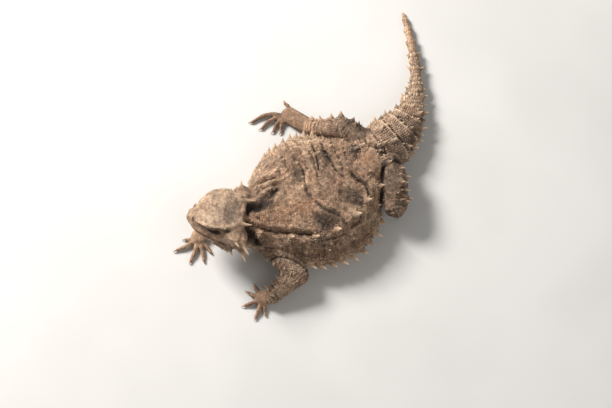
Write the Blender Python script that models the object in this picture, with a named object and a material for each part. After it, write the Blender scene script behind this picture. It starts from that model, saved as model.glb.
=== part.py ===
"""Horned lizard, a still life-size model.

The animal rests on its belly and feet with its head raised, facing -X, its left side towards -Y.
The floor is z = 0 and the origin lies under the middle of the trunk.
Sizes below are in millimetres; to_mesh() turns them into metres.
"""

import math
import random

import bpy
import bmesh
from mathutils import Euler, Vector

MM = 0.001
GAP = 0.3
FLOOR_DEPTH = 0.35
random.seed(11)

# Trunk, neck and tail follow one line of stations from the nape to the tail tip.
# Each row: the left and the right edge (x, y, x, y), the height of that edge,
# the height above it, the depth below it, and how far the back's ridge leans left.
SPINE = (
    (-30.2, -18.0, -30.8, -4.2, 15.4, 5.4, 5.6, 0.8),
    (-26.2, -19.2, -27.2, -2.0, 13.2, 7.2, 7.4, 1.4),
    (-21.2, -20.2, -23.2, 4.8, 11.0, 9.0, 8.6, 2.0),
    (-14.2, -22.0, -19.8, 12.2, 9.2, 10.5, 8.9, 2.6),
    (-6.4, -23.6, -15.2, 19.0, 7.9, 11.6, 8.2, 2.9),
    (2.0, -24.4, -8.8, 23.6, 7.1, 12.2, 7.4, 2.8),
    (9.8, -22.8, -2.4, 25.6, 6.8, 12.0, 7.1, 2.0),
    (17.2, -18.6, 4.8, 25.4, 6.6, 11.0, 6.9, 1.1),
    (22.8, -12.2, 11.2, 25.4, 6.4, 9.7, 6.7, 0.5),
    (26.2, -3.0, 16.0, 26.6, 6.2, 8.5, 6.5, 0.1),
    (29.8, 8.4, 20.2, 29.2, 5.9, 7.4, 6.2, 0.0),
    (34.6, 16.3, 25.4, 32.9, 5.4, 6.4, 5.0, 0.0),
    (38.7, 21.9, 29.8, 36.2, 4.9, 5.4, 4.5, 0.0),
    (41.3, 27.8, 33.1, 39.2, 4.5, 4.6, 4.4, 0.0),
    (42.8, 35.2, 35.8, 42.9, 4.1, 3.7, 4.2, 0.0),
    (43.4, 43.4, 37.7, 47.4, 3.6, 2.9, 3.8, 0.0),
    (43.2, 51.4, 38.7, 53.2, 3.0, 2.4, 3.2, 0.0),
    (42.5, 59.8, 38.6, 59.4, 2.5, 2.0, 2.7, 0.0),
    (41.1, 66.9, 37.8, 66.1, 2.1, 1.65, 2.3, 0.0),
    (39.7, 73.4, 37.0, 72.6, 1.65, 1.35, 1.8, 0.0),
    (38.2, 78.9, 36.1, 78.1, 1.25, 1.0, 1.4, 0.0),
    (37.1, 82.0, 35.6, 81.5, 0.95, 0.7, 1.1, 0.0),
)
NAPE, SHOULDERS, PELVIS, TAIL_MIDDLE, TAIL_END, TAIL_TIP = 0.0, 1.75, 10.5, 14.6, 17.0, 21.0
ROUND_TOP = 2.1
ROUND_BELLY = 2.7

# Side fringe and back spines: length and base radius.
FRINGE_SPINE = (3.1, 1.05)
BACK_SPINE = (2.3, 1.15)
# Rows of back spines: degrees from the ridge, share of the full size, and stations.
BACK_ROWS = (
    (13, 0.66, (3.2, 4.6, 6.0, 7.4, 8.8)),
    (37, 1.0, (2.3, 3.9, 5.2, 6.2, 7.2, 8.1, 9.2, 10.1)),
    (62, 0.72, (3.3, 4.5, 5.7, 6.8, 7.8, 8.8, 9.7)),
)
TAIL_SPINE = (2.9, 0.95)
LEG_SPINE = (1.7, 0.65)

# Head, from the occiput forwards, in its own frame: x forward, y left, z up.
HEAD_PLACE = (-26.3, -10.8, 18.6)
HEAD_YAW = math.radians(175)
HEAD_PITCH = math.radians(6)
HEAD_ROLL = math.radians(12)
HEAD_STATIONS = (-0.6, 2.4, 6.2, 9.6, 12.6, 15.6, 18.2, 20.0)
HEAD_SHAPE = {
    "crown_height": (4.4, 5.8, 6.5, 6.5, 5.9, 4.9, 3.6, 2.2),
    "brow_out": (7.0, 7.9, 8.3, 8.3, 7.3, 5.2, 3.6, 2.2),
    "brow_height": (4.0, 5.3, 6.3, 6.3, 5.5, 4.2, 2.9, 1.7),
    "orbit_out": (10.6, 11.0, 9.0, 7.5, 7.0, 5.8, 4.4, 2.6),
    "orbit_height": (3.2, 3.6, 4.0, 4.0, 3.4, 2.5, 1.8, 1.0),
    "cheek_out": (12.2, 12.4, 10.8, 9.4, 8.2, 6.7, 5.0, 2.9),
    "cheek_height": (1.4, 1.3, 1.1, 1.0, 0.9, 0.7, 0.5, 0.2),
    "lip_out": (11.6, 12.2, 11.0, 9.9, 8.6, 7.1, 5.2, 2.9),
    "lip_height": (-1.3, -1.1, -0.9, -0.8, -0.7, -0.6, -0.5, -0.4),
    "jaw_out": (10.2, 11.2, 10.8, 9.9, 8.5, 6.7, 4.6, 2.3),
    "jaw_height": (-3.6, -3.6, -3.3, -3.0, -2.7, -2.3, -1.8, -1.3),
    "throat_out": (6.4, 6.9, 6.8, 6.2, 5.2, 4.0, 2.7, 1.2),
    "throat_height": (-5.6, -5.6, -5.2, -4.8, -4.3, -3.5, -2.6, -1.8),
    "chin_depth": (6.2, 6.1, 5.8, 5.3, 4.7, 3.8, 2.9, 2.0),
}
SNOUT_TIP = 21.0
OCCIPUT_DEPTH = 0.9
MOUTH_CORNER = 4.6
EYE_PLACE = (9.5, 5.8, 3.1)
EYE_RADIUS = 2.2
LID_SLOT = (1.9, 0.8)
NOSTRIL_PLACE = (17.8, 2.8, 2.4)
NOSTRIL_RADIUS = 0.42
EAR_PLACE = (2.6, 12.0, -0.6)

# Horns of the left side: base, direction, length and base radius in the head's frame.
HORNS = {
    "occipital": ((0.2, 5.2, 3.9), (-0.98, 0.04, 0.0), 5.2, 1.4),
    "temporal_1": ((1.4, 11.4, 2.2), (-0.58, 0.80, 0.06), 3.9, 1.1),
    "temporal_2": ((-1.4, 11.6, 0.4), (-0.56, 0.80, -0.15), 5.4, 1.25),
    "temporal_3": ((-0.4, 11.8, -2.2), (-0.42, 0.84, -0.28), 6.2, 1.35),
}
SHOULDER_SIDE_SWEEP = -0.25
TEMPLE = ((0.9, 8.5, -0.1), (3.9, 4.7, 3.7))
JAW_SPINES = 5

# Limbs: joint centres and radii at the root, the middle and the far end.
LIMBS = {
    "left_arm": {
        "joints": ((-17.0, -17.0, 9.4), (-5.0, -29.5, 7.2), (-15.6, -36.9, 3.4)),
        "upper": (5.0, 4.7, 4.1),
        "lower": (4.1, 3.8, 3.3),
        "spine_row": 20,
        "flatness": 0.86,
    },
    "right_arm": {
        "joints": ((-20.0, 0.5, 7.4), (-34.6, -1.5, 5.2), (-42.0, -9.6, 3.0)),
        "upper": (3.9, 3.6, 3.3),
        "lower": (3.2, 2.9, 2.2),
        "spine_row": 25,
        "flatness": 0.86,
    },
    "left_leg": {
        "joints": ((29.5, 14.5, 9.4), (31.8, -2.6, 9.8), (35.2, 11.4, 3.3)),
        "upper": (5.2, 5.4, 4.6),
        "lower": (3.3, 3.2, 2.4),
        "spine_row": 158,
        "flatness": 0.78,
    },
    "right_leg": {
        "joints": ((23.0, 23.0, 7.4), (13.2, 29.8, 7.4), (-0.6, 32.0, 3.6)),
        "upper": (4.8, 4.8, 4.2),
        "lower": (4.0, 3.5, 3.3),
        "spine_row": 28,
        "flatness": 0.9,
    },
}

# Feet: palm centre, palm radius, then the heading and length of each digit from the
# palm centre, first digit first, and how far the longer digits bend sideways.
FEET = {
    "left_hand": ("left_arm", (-19.2, -37.0, 1.7), 3.1, (116, 154, 203, 253, 283), (6.9, 6.7, 8.0, 8.8, 7.2), 0.5),
    "right_hand": ("right_arm", (-43.8, -13.0, 1.7), 3.2, (313, 285, 253, 209, 183), (8.2, 9.9, 10.3, 10.4, 5.8), 0.5),
    "left_foot": ("left_leg", (33.2, 6.4, 1.8), 2.7, (224, 244, 256, 270, 296), (5.4, 7.4, 9.6, 11.0, 7.2), -0.5),
    "right_foot": ("right_leg", (-8.9, 38.0, 1.8), 3.6, (244, 226, 206, 190, 108), (8.5, 10.0, 13.0, 15.9, 6.9), -1.4),
}
DIGIT_RADIUS = 0.86
CLAW_LENGTH = 1.7
CLAW_RADIUS = 0.42

# Triangles are spent through these counts of points round a section.
TRUNK_POINTS, TAIL_POINTS, LIMB_POINTS, PALM_POINTS, DIGIT_POINTS = 38, 22, 16, 12, 7

COLOURS = {
    "skin": (0.45, 0.33, 0.25, 1.0),
    "horn": (0.62, 0.47, 0.35, 1.0),
    "eye": (0.03, 0.02, 0.015, 1.0),
}


# Interpolation and sections

def along(rows, s):
    """The row at station number s, on a Catmull-Rom curve through the rows."""
    last = len(rows) - 1
    s = min(max(s, 0.0), float(last))
    i = min(int(s), last - 1)
    t = s - i
    before, start = rows[max(i - 1, 0)], rows[i]
    end, after = rows[i + 1], rows[min(i + 2, last)]
    weights = (
        -0.5 * t + t * t - 0.5 * t ** 3,
        1 - 2.5 * t * t + 1.5 * t ** 3,
        0.5 * t + 2 * t * t - 1.5 * t ** 3,
        -0.5 * t * t + 0.5 * t ** 3,
    )
    return tuple(
        sum(w * v for w, v in zip(weights, values))
        for values in zip(before, start, end, after)
    )


def power(value, exponent):
    """value to a power, keeping its sign."""
    return math.copysign(abs(value) ** exponent, value)


def spine_frame(s):
    """Centre, left-hand side vector, half width and the heights of the spine's section at s."""
    row = along(SPINE, s)
    left_edge, right_edge = Vector((*row[0:2], row[4])), Vector((*row[2:4], row[4]))
    across = left_edge - right_edge
    return (left_edge + right_edge) / 2, across.normalized(), across.length / 2, row[5:8]


def tailwards(s):
    """The level direction towards the tail at s."""
    left = spine_frame(s)[1]
    return Vector((-left.y, left.x, 0))


def spine_point(s, angle, grow=0.0):
    """A point on the trunk or tail; angle 0 is the left fringe and a quarter turn the ridge of the back."""
    centre, left, half_width, (above, below, lean) = spine_frame(s)
    c, n = math.cos(angle), math.sin(angle)
    roundness = ROUND_TOP if n > 0 else ROUND_BELLY
    height = (above if n > 0 else below) + grow
    out = (half_width + grow) * power(c, 2 / roundness)
    up = height * power(n, 2 / roundness)
    if n > 0:
        out += lean * n * n
    return centre + left * out + Vector((0, 0, up))


def spine_normal(s, angle):
    """The outward direction of the trunk or tail at that place."""
    step = 0.04
    across = spine_point(s, angle + step) - spine_point(s, angle - step)
    lengthwise = spine_point(s + step, angle) - spine_point(s - step, angle)
    return across.cross(lengthwise).normalized() * -1


def spread(start, end, count):
    """count values from start to end, both included."""
    return [start + (end - start) * i / (count - 1) for i in range(count)]


# Meshes

def to_mesh(name, bm, smooth=True):
    """An object in metres from a bmesh in millimetres."""
    bmesh.ops.scale(bm, vec=(MM, MM, MM), verts=bm.verts)
    bmesh.ops.recalc_face_normals(bm, faces=bm.faces)
    mesh = bpy.data.meshes.new(name)
    bm.to_mesh(mesh)
    bm.free()
    if smooth:
        mesh.shade_smooth()
    obj = bpy.data.objects.new(name, mesh)
    bpy.context.scene.collection.objects.link(obj)
    return obj


def loft(name, rings):
    """A closed tube through rings of points, with a flat cap at each end."""
    bm = bmesh.new()
    loops = [[bm.verts.new(point) for point in ring] for ring in rings]
    count = len(rings[0])
    for near, far in zip(loops, loops[1:]):
        for i in range(count):
            j = (i + 1) % count
            bm.faces.new((near[i], near[j], far[j], far[i]))
    bm.faces.new(loops[0][::-1])
    bm.faces.new(loops[-1])
    return to_mesh(name, bm)


def spine_loft(name, start, end, rings, points, grow=0.0, round_end=False):
    """The part of the trunk or tail between two stations."""
    angles = [2 * math.pi * i / points for i in range(points)]
    tube = [[spine_point(s, a, grow) for a in angles] for s in spread(start, end, rings)]
    tube[0] = [p - tailwards(start) * grow for p in tube[0]]
    tube[-1] = [p + tailwards(end) * grow for p in tube[-1]]
    if round_end:
        centre, left, half_width, heights = spine_frame(end)
        for turn in (35, 65):
            out = tailwards(end) * half_width * math.sin(math.radians(turn))
            tube.append([centre + out + (p - centre) * math.cos(math.radians(turn)) for p in tube[rings - 1]])
    return loft(name, tube)


def sweep(name, stations, points, flatness=1.0, grow=0.0, steps=4):
    """A round-ended limb through stations of (centre, radius); flatness narrows its height."""
    rows = [(*centre, radius) for centre, radius in stations]
    last = len(rows) - 1
    places = spread(0, last, last * steps + 1)
    rings = []

    def ring(s, onward, scale):
        row = along(rows, s)
        nearby = Vector(along(rows, s + 0.1)[:3]) - Vector(along(rows, s - 0.1)[:3])
        forward = nearby.normalized()
        side = forward.cross(Vector((0, 0, 1))).normalized()
        up = side.cross(forward)
        radius = row[3] + grow
        centre = Vector(row[:3]) + forward * radius * onward
        for_points = []
        for i in range(points):
            a = 2 * math.pi * i / points
            reach = side * math.cos(a) + up * math.sin(a) * (flatness + grow * (1 - flatness) / radius)
            for_points.append(centre + reach * radius * scale)
        rings.append(for_points)

    ends = [math.radians(turn) for turn in (68, 34)]
    for turn in ends:
        ring(0, -math.sin(turn), math.cos(turn))
    for s in places:
        ring(s, 0, 1)
    for turn in ends[::-1]:
        ring(last, math.sin(turn), math.cos(turn))
    return loft(name, rings)


def thorn(place, direction, length, radius, sides=5, bend=Vector((0, 0, 0)), sink=0.6, width=1.0):
    """A tapered spine whose root is sunk into what it grows from."""
    direction = direction.normalized()
    side = direction.cross(Vector((0.13, 0.21, 0.97))).normalized()
    other = direction.cross(side)
    bm = bmesh.new()
    levels = ((-sink, 1.12), (length * 0.45, 0.56))
    loops = []
    for out, scale in levels:
        centre = place + direction * out + bend * max(out / length, 0) ** 2
        loop = []
        for i in range(sides):
            a = 2 * math.pi * i / sides
            reach = side * math.cos(a) * width + other * math.sin(a)
            loop.append(bm.verts.new(centre + reach * radius * scale))
        loops.append(loop)
    tip = bm.verts.new(place + direction * length + bend)
    for i in range(sides):
        j = (i + 1) % sides
        bm.faces.new((loops[0][i], loops[0][j], loops[1][j], loops[1][i]))
        bm.faces.new((loops[1][i], loops[1][j], tip))
    bm.faces.new(loops[0][::-1])
    return to_mesh("thorn", bm, smooth=False)


def ball(place, radii, turn=(0, 0, 0), segments=16, rings=10):
    """An ellipsoid."""
    bm = bmesh.new()
    bmesh.ops.create_uvsphere(bm, u_segments=segments, v_segments=rings, radius=1)
    bmesh.ops.scale(bm, vec=radii, verts=bm.verts)
    bmesh.ops.rotate(bm, matrix=Euler(turn).to_matrix(), verts=bm.verts)
    bmesh.ops.translate(bm, vec=place, verts=bm.verts)
    return to_mesh("ball", bm)


def floor_block():
    """A block whose top is the floor, to cut the flats that the animal rests on."""
    bm = bmesh.new()
    bmesh.ops.create_cube(bm, size=1)
    bmesh.ops.scale(bm, vec=(200, 240, 20), verts=bm.verts)
    bmesh.ops.translate(bm, vec=(0, 10, -10), verts=bm.verts)
    return to_mesh("floor_block", bm, smooth=False)


# Joining and cutting

def boolean(obj, operation, others):
    """Applies one Boolean of a group of closed meshes, then removes the group."""
    if not others:
        return
    group = bpy.data.collections.new("group")
    bpy.context.scene.collection.children.link(group)
    for other in others:
        group.objects.link(other)
    modifier = obj.modifiers.new(operation, "BOOLEAN")
    modifier.operation = operation
    modifier.operand_type = "COLLECTION"
    modifier.collection = group
    modifier.solver = "MANIFOLD"
    bpy.context.view_layer.update()
    graph = bpy.context.evaluated_depsgraph_get()
    result = bpy.data.meshes.new_from_object(obj.evaluated_get(graph))
    obj.modifiers.clear()
    old = obj.data
    obj.data = result
    bpy.data.meshes.remove(old)
    for other in others:
        mesh = other.data
        bpy.data.objects.remove(other)
        bpy.data.meshes.remove(mesh)
    bpy.data.collections.remove(group)


def keep_largest(obj):
    """Drops every closed surface but the largest."""
    bm = bmesh.new()
    bm.from_mesh(obj.data)
    waiting = set(bm.faces)
    groups = []
    while waiting:
        seeds = [waiting.pop()]
        group = set(seeds)
        while seeds:
            for edge in seeds.pop().edges:
                for face in edge.link_faces:
                    if face in waiting:
                        waiting.remove(face)
                        group.add(face)
                        seeds.append(face)
        groups.append(group)
    groups.sort(key=lambda g: sum(f.calc_area() for f in g))
    for group in groups[:-1]:
        bmesh.ops.delete(bm, geom=list(group), context="FACES")
    bm.to_mesh(obj.data)
    bm.free()


def node(name, material, pieces, cutters=(), floor=True):
    """Joins the pieces of one part of the body, cuts it clear of its neighbours and the floor, and names it."""
    body = pieces[0]
    boolean(body, "UNION", pieces[1:])
    cutters = list(cutters)
    if floor:
        cutters.append(floor_block())
    boolean(body, "DIFFERENCE", cutters)
    keep_largest(body)
    body.name = name
    body.data.name = name
    body.data.materials.clear()
    body.data.materials.append(MATERIALS[material])
    body.data.shade_smooth()
    body.data.set_sharp_from_angle(angle=math.radians(40))
    for collection in list(body.users_collection):
        collection.objects.unlink(body)
    ANIMAL.objects.link(body)
    return body


def new_material(name, colour):
    material = bpy.data.materials.new(name)
    material.use_nodes = True
    shader = material.node_tree.nodes["Principled BSDF"]
    shader.inputs["Base Color"].default_value = colour
    shader.inputs["Roughness"].default_value = 0.25 if name == "eye" else 0.8
    shader.inputs["Metallic"].default_value = 0.0
    return material


# Trunk, neck and tail

def clear_of_limbs(place, reach):
    """Whether a spine at this place stays away from every limb."""
    for name, limb in LIMBS.items():
        root, bend, end = (Vector(j) for j in limb["joints"])
        for a, b, radii in ((root, bend, limb["upper"]), (bend, end, limb["lower"])):
            t = min(max((place - a).dot(b - a) / (b - a).length_squared, 0), 1)
            if (place - a.lerp(b, t)).length < max(radii) + reach:
                return False
    return True


def fringe(start, end, count, size):
    """The row of flat spines along both sides of the trunk."""
    pieces = []
    for side_angle, mirror in ((math.radians(6), 1), (math.radians(174), -1)):
        for i, s in enumerate(spread(start, end, count)):
            s += random.uniform(-0.02, 0.02)
            place = spine_point(s, side_angle)
            left = spine_frame(s)[1]
            direction = left * mirror + tailwards(s) * 0.55 + Vector((0, 0, 0.12))
            length = size[0] * random.uniform(0.9, 1.1) * (1.0 if i % 2 else 0.68)
            if clear_of_limbs(place, 1.2) and clear_of_limbs(place + direction.normalized() * length, 0.6):
                pieces.append(thorn(place, direction, length, size[1], width=0.75, sink=1.0))
    return pieces


def back_spines():
    """Raised spines in rows on both sides of the ridge: place along the body and size of each."""
    pieces = []
    for from_ridge, size, stations in BACK_ROWS:
        for mirror in (1, -1):
            for s in stations:
                s += random.uniform(-0.12, 0.12)
                angle = math.radians(90 - mirror * (from_ridge + random.uniform(-3, 3)))
                place = spine_point(s, angle)
                aim = spine_normal(s, angle) + tailwards(s) * 0.75
                share = size * random.uniform(0.85, 1.15)
                if clear_of_limbs(place, 1.5):
                    pieces.append(thorn(place, aim, BACK_SPINE[0] * share, BACK_SPINE[1] * share, sink=0.9))
    return pieces


def tail_whorls(start, end, count):
    """Rings of spines round the tail, largest at its sides and smaller towards the tip."""
    pieces = []
    for s in spread(start, end, count):
        fade = min(1.0, 0.35 + spine_frame(s)[2] / 9)
        for angle, share in ((8, 1.0), (172, 1.0), (52, 0.72), (128, 0.72)):
            a = math.radians(angle + random.uniform(-4, 4))
            place = spine_point(s, a)
            outward = spine_normal(s, a)
            length = TAIL_SPINE[0] * fade * share
            radius = TAIL_SPINE[1] * fade
            if clear_of_limbs(place, 1.0):
                pieces.append(thorn(place, outward + tailwards(s) * 0.5, length, radius, sides=4, sink=radius * 0.7))
    return pieces


def build_spine():
    half_gap = 0.03
    neck = [spine_loft("neck", NAPE, SHOULDERS - half_gap, 6, 28)]
    node("neck", "skin", neck, floor=False)
    trunk = [spine_loft("trunk", SHOULDERS + half_gap, PELVIS - half_gap, 25, TRUNK_POINTS)]
    trunk += fringe(SHOULDERS + 0.35, PELVIS - 0.8, 25, FRINGE_SPINE)
    trunk += back_spines()
    node("trunk", "skin", trunk)
    base = [spine_loft("tail", PELVIS + half_gap, TAIL_MIDDLE - half_gap, 12, TAIL_POINTS)]
    base += tail_whorls(PELVIS + 0.45, TAIL_MIDDLE - 0.35, 6)
    node("tail_base", "skin", base)
    middle = [spine_loft("tail", TAIL_MIDDLE + half_gap, TAIL_END - half_gap, 8, 18)]
    middle += tail_whorls(TAIL_MIDDLE + 0.25, TAIL_END - 0.3, 5)
    node("tail_middle", "skin", middle)
    tip = [spine_loft("tail", TAIL_END + half_gap, TAIL_TIP, 9, 14, round_end=True)]
    node("tail_tip", "skin", tip)


# Head

def head_turn():
    """The head's rotation in the world."""
    return Euler((HEAD_ROLL, HEAD_PITCH, HEAD_YAW)).to_matrix()


def head_world(point):
    """A point of the head's frame, in the world."""
    return Vector(HEAD_PLACE) + head_turn() @ Vector(point)


def head_value(name, x):
    """One named size of the head's section at distance x from the occiput."""
    stations = HEAD_STATIONS
    i = 0
    while i < len(stations) - 2 and x > stations[i + 1]:
        i += 1
    s = i + (x - stations[i]) / (stations[i + 1] - stations[i])
    return along([(v,) for v in HEAD_SHAPE[name]], s)[0]


def head_ring(x, shrink=1.0):
    """One section of the head: crown, brow, orbit, cheek, lips, jaw and throat, then the same mirrored."""
    h = {name: head_value(name, x) for name in HEAD_SHAPE}
    groove = 0.45 if x > MOUTH_CORNER else 0.0
    half = (
        (h["brow_out"] * 0.5, h["crown_height"] * 0.98),
        (h["brow_out"] * 0.86, h["brow_height"] + 0.12),
        (h["brow_out"], h["brow_height"] - 0.25),
        ((h["brow_out"] + h["orbit_out"]) / 2 - 0.25, (h["brow_height"] + h["orbit_height"]) / 2 - 0.2),
        (h["orbit_out"], h["orbit_height"] - 0.3),
        ((h["orbit_out"] + h["cheek_out"]) / 2, (h["orbit_height"] + h["cheek_height"]) / 2 - 0.2),
        (h["cheek_out"], h["cheek_height"]),
        (h["lip_out"], h["lip_height"] + 0.5),
        (h["lip_out"] - groove, h["lip_height"]),
        (h["lip_out"] - 0.12, h["lip_height"] - 0.5),
        (h["jaw_out"], h["jaw_height"]),
        (h["throat_out"], h["throat_height"]),
    )
    left = [(0.0, h["crown_height"])] + list(half)
    right = [(-y, z) for y, z in reversed(half)]
    ring = left + [(0.0, -h["chin_depth"])] + right
    middle = (h["crown_height"] - h["chin_depth"]) / 2
    return [(x, y * shrink, middle + (z - middle) * shrink) for y, z in ring]


def head_surface(x, share, side):
    """A point on the head at distance x, where share runs from the crown, 0, to the chin, 1."""
    ring = head_ring(x)
    half = len(ring) // 2
    s = share * half
    point = along(ring[: half + 1], s)
    return Vector((point[0], point[1] * side, point[2]))


def head_loft(grow=0.0, count=16):
    """The skull with its flesh, from the rounded occiput to the blunt snout."""
    rings = []
    for turn in (62, 32):
        t = math.radians(turn)
        ring = head_ring(HEAD_STATIONS[0], 1 - 0.3 * (1 - math.cos(t)))
        rings.append([(x - (OCCIPUT_DEPTH + grow) * math.sin(t), y, z) for x, y, z in ring])
    rings += [head_ring(x) for x in spread(HEAD_STATIONS[0], HEAD_STATIONS[-1], count)]
    blunt = SNOUT_TIP - HEAD_STATIONS[-1]
    for turn in (40, 72):
        t = math.radians(turn)
        ring = head_ring(HEAD_STATIONS[-1], math.cos(t))
        rings.append([(x + blunt * math.sin(t), y, z) for x, y, z in ring])
    return loft("head", [[head_world(grown(p, grow)) for p in ring] for ring in rings])


def grown(point, grow):
    """A point of the head's section moved outwards."""
    x, y, z = point
    reach = math.hypot(y, z)
    return (x, y * (1 + grow / reach), z * (1 + grow / reach))


def head_thorn(point, direction, length, radius, side, **more):
    """A spine given in the head's frame, on either side."""
    place = Vector((point[0], point[1] * side, point[2]))
    aim = Vector((direction[0], direction[1] * side, direction[2]))
    return thorn(head_world(place), head_turn() @ aim, length, radius, **more)


def jaw_spines(side):
    """Spines along the lower jaw, longer towards its corner, and the beads of the brow's edge."""
    pieces = []
    for i, x in enumerate(spread(13.6, 4.2, JAW_SPINES)):
        place = head_surface(x, 0.79, side)
        place.y *= side
        length = 1.0 + 0.15 * i * i
        pieces.append(head_thorn(place, (-0.3, 0.9, -0.28), length, 0.55 + 0.12 * i, side, sides=4, sink=0.5))
    brow_end = (5.6, 8.0, 5.8)
    pieces.append(head_thorn(brow_end, (-0.7, 0.62, 0.1), 1.5, 0.75, side, sides=4, sink=0.6))
    return pieces


def temple(side, grow=0.0):
    """The rear corner of the head, which carries the temporal horns."""
    (x, y, z), radii = TEMPLE
    turn = (HEAD_ROLL, HEAD_PITCH, HEAD_YAW)
    return ball(head_world((x, y * side, z)), [r + grow for r in radii], turn, 18, 12)


def build_head():
    pieces = [head_loft()]
    cutters = [spine_loft("nape", NAPE, 3.2, 14, 38, grow=GAP + 0.08)]
    for side in (1, -1):
        pieces += jaw_spines(side)
        pieces.append(temple(side))
        x, y, z = EYE_PLACE
        eye = head_world((x, y * side, z))
        cutters.append(ball(eye, (EYE_RADIUS + GAP,) * 3, segments=14, rings=9))
        slot = head_world((x + 0.1, (y + 2.3) * side, z - 0.1))
        cutters.append(ball(slot, (LID_SLOT[0], 2.4, LID_SLOT[1]), (HEAD_ROLL, HEAD_PITCH, HEAD_YAW), 14, 8))
        x, y, z = NOSTRIL_PLACE
        cutters.append(ball(head_world((x, y * side, z)), (NOSTRIL_RADIUS,) * 2 + (0.9,), segments=7, rings=5))
        x, y, z = EAR_PLACE
        ear = head_world((x, (y + 0.15) * side, z - 1.1))
        cutters.append(ball(ear, (1.1, 0.75, 0.9), (HEAD_ROLL, HEAD_PITCH, HEAD_YAW), 10, 6))
    head = node("head", "skin", pieces, cutters, floor=False)
    for side, side_name in ((1, "left"), (-1, "right")):
        x, y, z = EYE_PLACE
        eye = ball(head_world((x, y * side, z)), (EYE_RADIUS,) * 3, segments=14, rings=8)
        node("eye_" + side_name, "eye", [eye], floor=False)
        for horn, (base, aim, length, radius) in HORNS.items():
            build_horn(f"horn_{horn}_{side_name}", base, aim, length, radius, side)
    return head


def build_horn(name, base, aim, length, radius, side):
    """A horn on the rim of the skull, its root cut to meet the head face to face."""
    bend = head_turn() @ Vector((0, 0, 0.35))
    if side < 0 and name.startswith("horn_temporal"):
        aim = (aim[0] * SHOULDER_SIDE_SWEEP, aim[1], aim[2])
    horn = head_thorn(base, aim, length, radius, side, sides=9, bend=bend, sink=1.6)
    skull = head_loft(GAP)
    nape = spine_loft("nape", NAPE, 3.2, 14, 38, grow=GAP + 0.08)
    node(name, "horn", [horn], [skull, nape, temple(side, GAP)], floor=False)


# Limbs

def limb_stations(limb, part):
    """Centres and radii of the upper or the lower part of a limb."""
    root, bend, end = (Vector(j) for j in limb["joints"])
    a, b = (root, bend) if part == "upper" else (bend, end)
    thick = limb[part]
    return [
        (a, thick[0]),
        (a.lerp(b, 0.4) + Vector((0, 0, 0.3)), thick[1]),
        (b, thick[2]),
    ]


def limb_sweep(limb, part, grow=0.0):
    return sweep(part, limb_stations(limb, part), LIMB_POINTS, limb["flatness"], grow)


def leg_spines(limb, part, count):
    """Spines on the upper and rear face of a limb."""
    stations = limb_stations(limb, part)
    pieces = []
    a, b = stations[0][0], stations[-1][0]
    forward = (b - a).normalized()
    side = forward.cross(Vector((0, 0, 1))).normalized()
    up = side.cross(forward)
    for i in range(count):
        t = (i + 0.9) / (count + 0.6)
        rows = [(*c, r) for c, r in stations]
        row = along(rows, t * 2)
        turn = math.radians(limb["spine_row"] + (0, 34)[i % 2] * (1 if limb["spine_row"] < 90 else -1))
        outward = side * math.cos(turn) + up * math.sin(turn) * limb["flatness"]
        place = Vector(row[:3]) + outward * (row[3] - 0.1)
        inside = trunk_distance(place) < 1.6
        if not inside:
            aim = outward.normalized() + forward * 0.25
            pieces.append(thorn(place, aim, LEG_SPINE[0] * random.uniform(0.8, 1.2), LEG_SPINE[1], sides=4, sink=0.5))
    return pieces


def trunk_distance(place):
    """Roughly how far a place lies outside the trunk's plan, negative inside it."""
    best = 1e9
    for s in spread(SHOULDERS, 12.6, 40):
        centre, left, half_width, heights = spine_frame(s)
        away = place - centre
        if abs(away.dot(tailwards(s))) < 2.0:
            best = min(best, abs(away.dot(left)) - half_width)
    return best


def digit(foot_centre, palm, heading, length, bow):
    """One digit with its claw, lying on the floor."""
    turn = math.radians(heading)
    forward = Vector((math.cos(turn), math.sin(turn), 0))
    side = Vector((-forward.y, forward.x, 0))
    root = foot_centre + forward * palm * 0.45
    flesh = length - CLAW_LENGTH * 0.75
    stations = []
    for share, height, radius in ((0.0, 1.35, 1.08), (0.5, 1.25, 0.95), (1.0, 0.72, 0.74)):
        out = palm * 0.45 + (flesh - palm * 0.45) * share
        place = foot_centre + forward * out + side * bow * math.sin(math.pi * share) * length / 12
        stations.append((Vector((place.x, place.y, height)), DIGIT_RADIUS * radius))
    toe = sweep("digit", stations, DIGIT_POINTS, 0.92, steps=2)
    tip = stations[-1][0] + forward * 0.15
    drop = Vector((0, 0, -0.32))
    claw = thorn(tip, forward, CLAW_LENGTH, CLAW_RADIUS, sides=5, bend=drop, sink=0.5)
    return [toe, claw]


def build_limb(name, words):
    """One limb: upper part, lower part and foot, each cut to meet the one it grows from."""
    limb = LIMBS[name]
    upper_name, lower_name, foot_name = words
    trunk = spine_loft("trunk", 1.0, 12.6, 30, 36, grow=GAP)
    pieces = [limb_sweep(limb, "upper")] + leg_spines(limb, "upper", 6)
    node(upper_name, "skin", pieces, [trunk])
    trunk = spine_loft("trunk", 1.0, 12.6, 30, 36, grow=GAP)
    pieces = [limb_sweep(limb, "lower")] + leg_spines(limb, "lower", 6)
    node(lower_name, "skin", pieces, [trunk, limb_sweep(limb, "upper", GAP)])
    arm, centre, palm, headings, lengths, bow = FEET[foot_name]
    centre = Vector(centre)
    wrist = Vector(limb["joints"][2])
    back = wrist + (wrist - Vector(limb["joints"][1])).normalized() * -0.5
    heel = (back, limb["lower"][2] * 0.95)
    middle = (centre.lerp(wrist, 0.45), palm * 0.94)
    front = (centre, palm * 0.92)
    pieces = [sweep("palm", [heel, middle, front], PALM_POINTS, 0.62, steps=2)]
    for heading, length in zip(headings, lengths):
        pieces += digit(centre, palm, heading, length, bow)
    node(foot_name, "skin", pieces, [limb_sweep(limb, "lower", GAP), limb_sweep(limb, "upper", GAP)])


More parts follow.
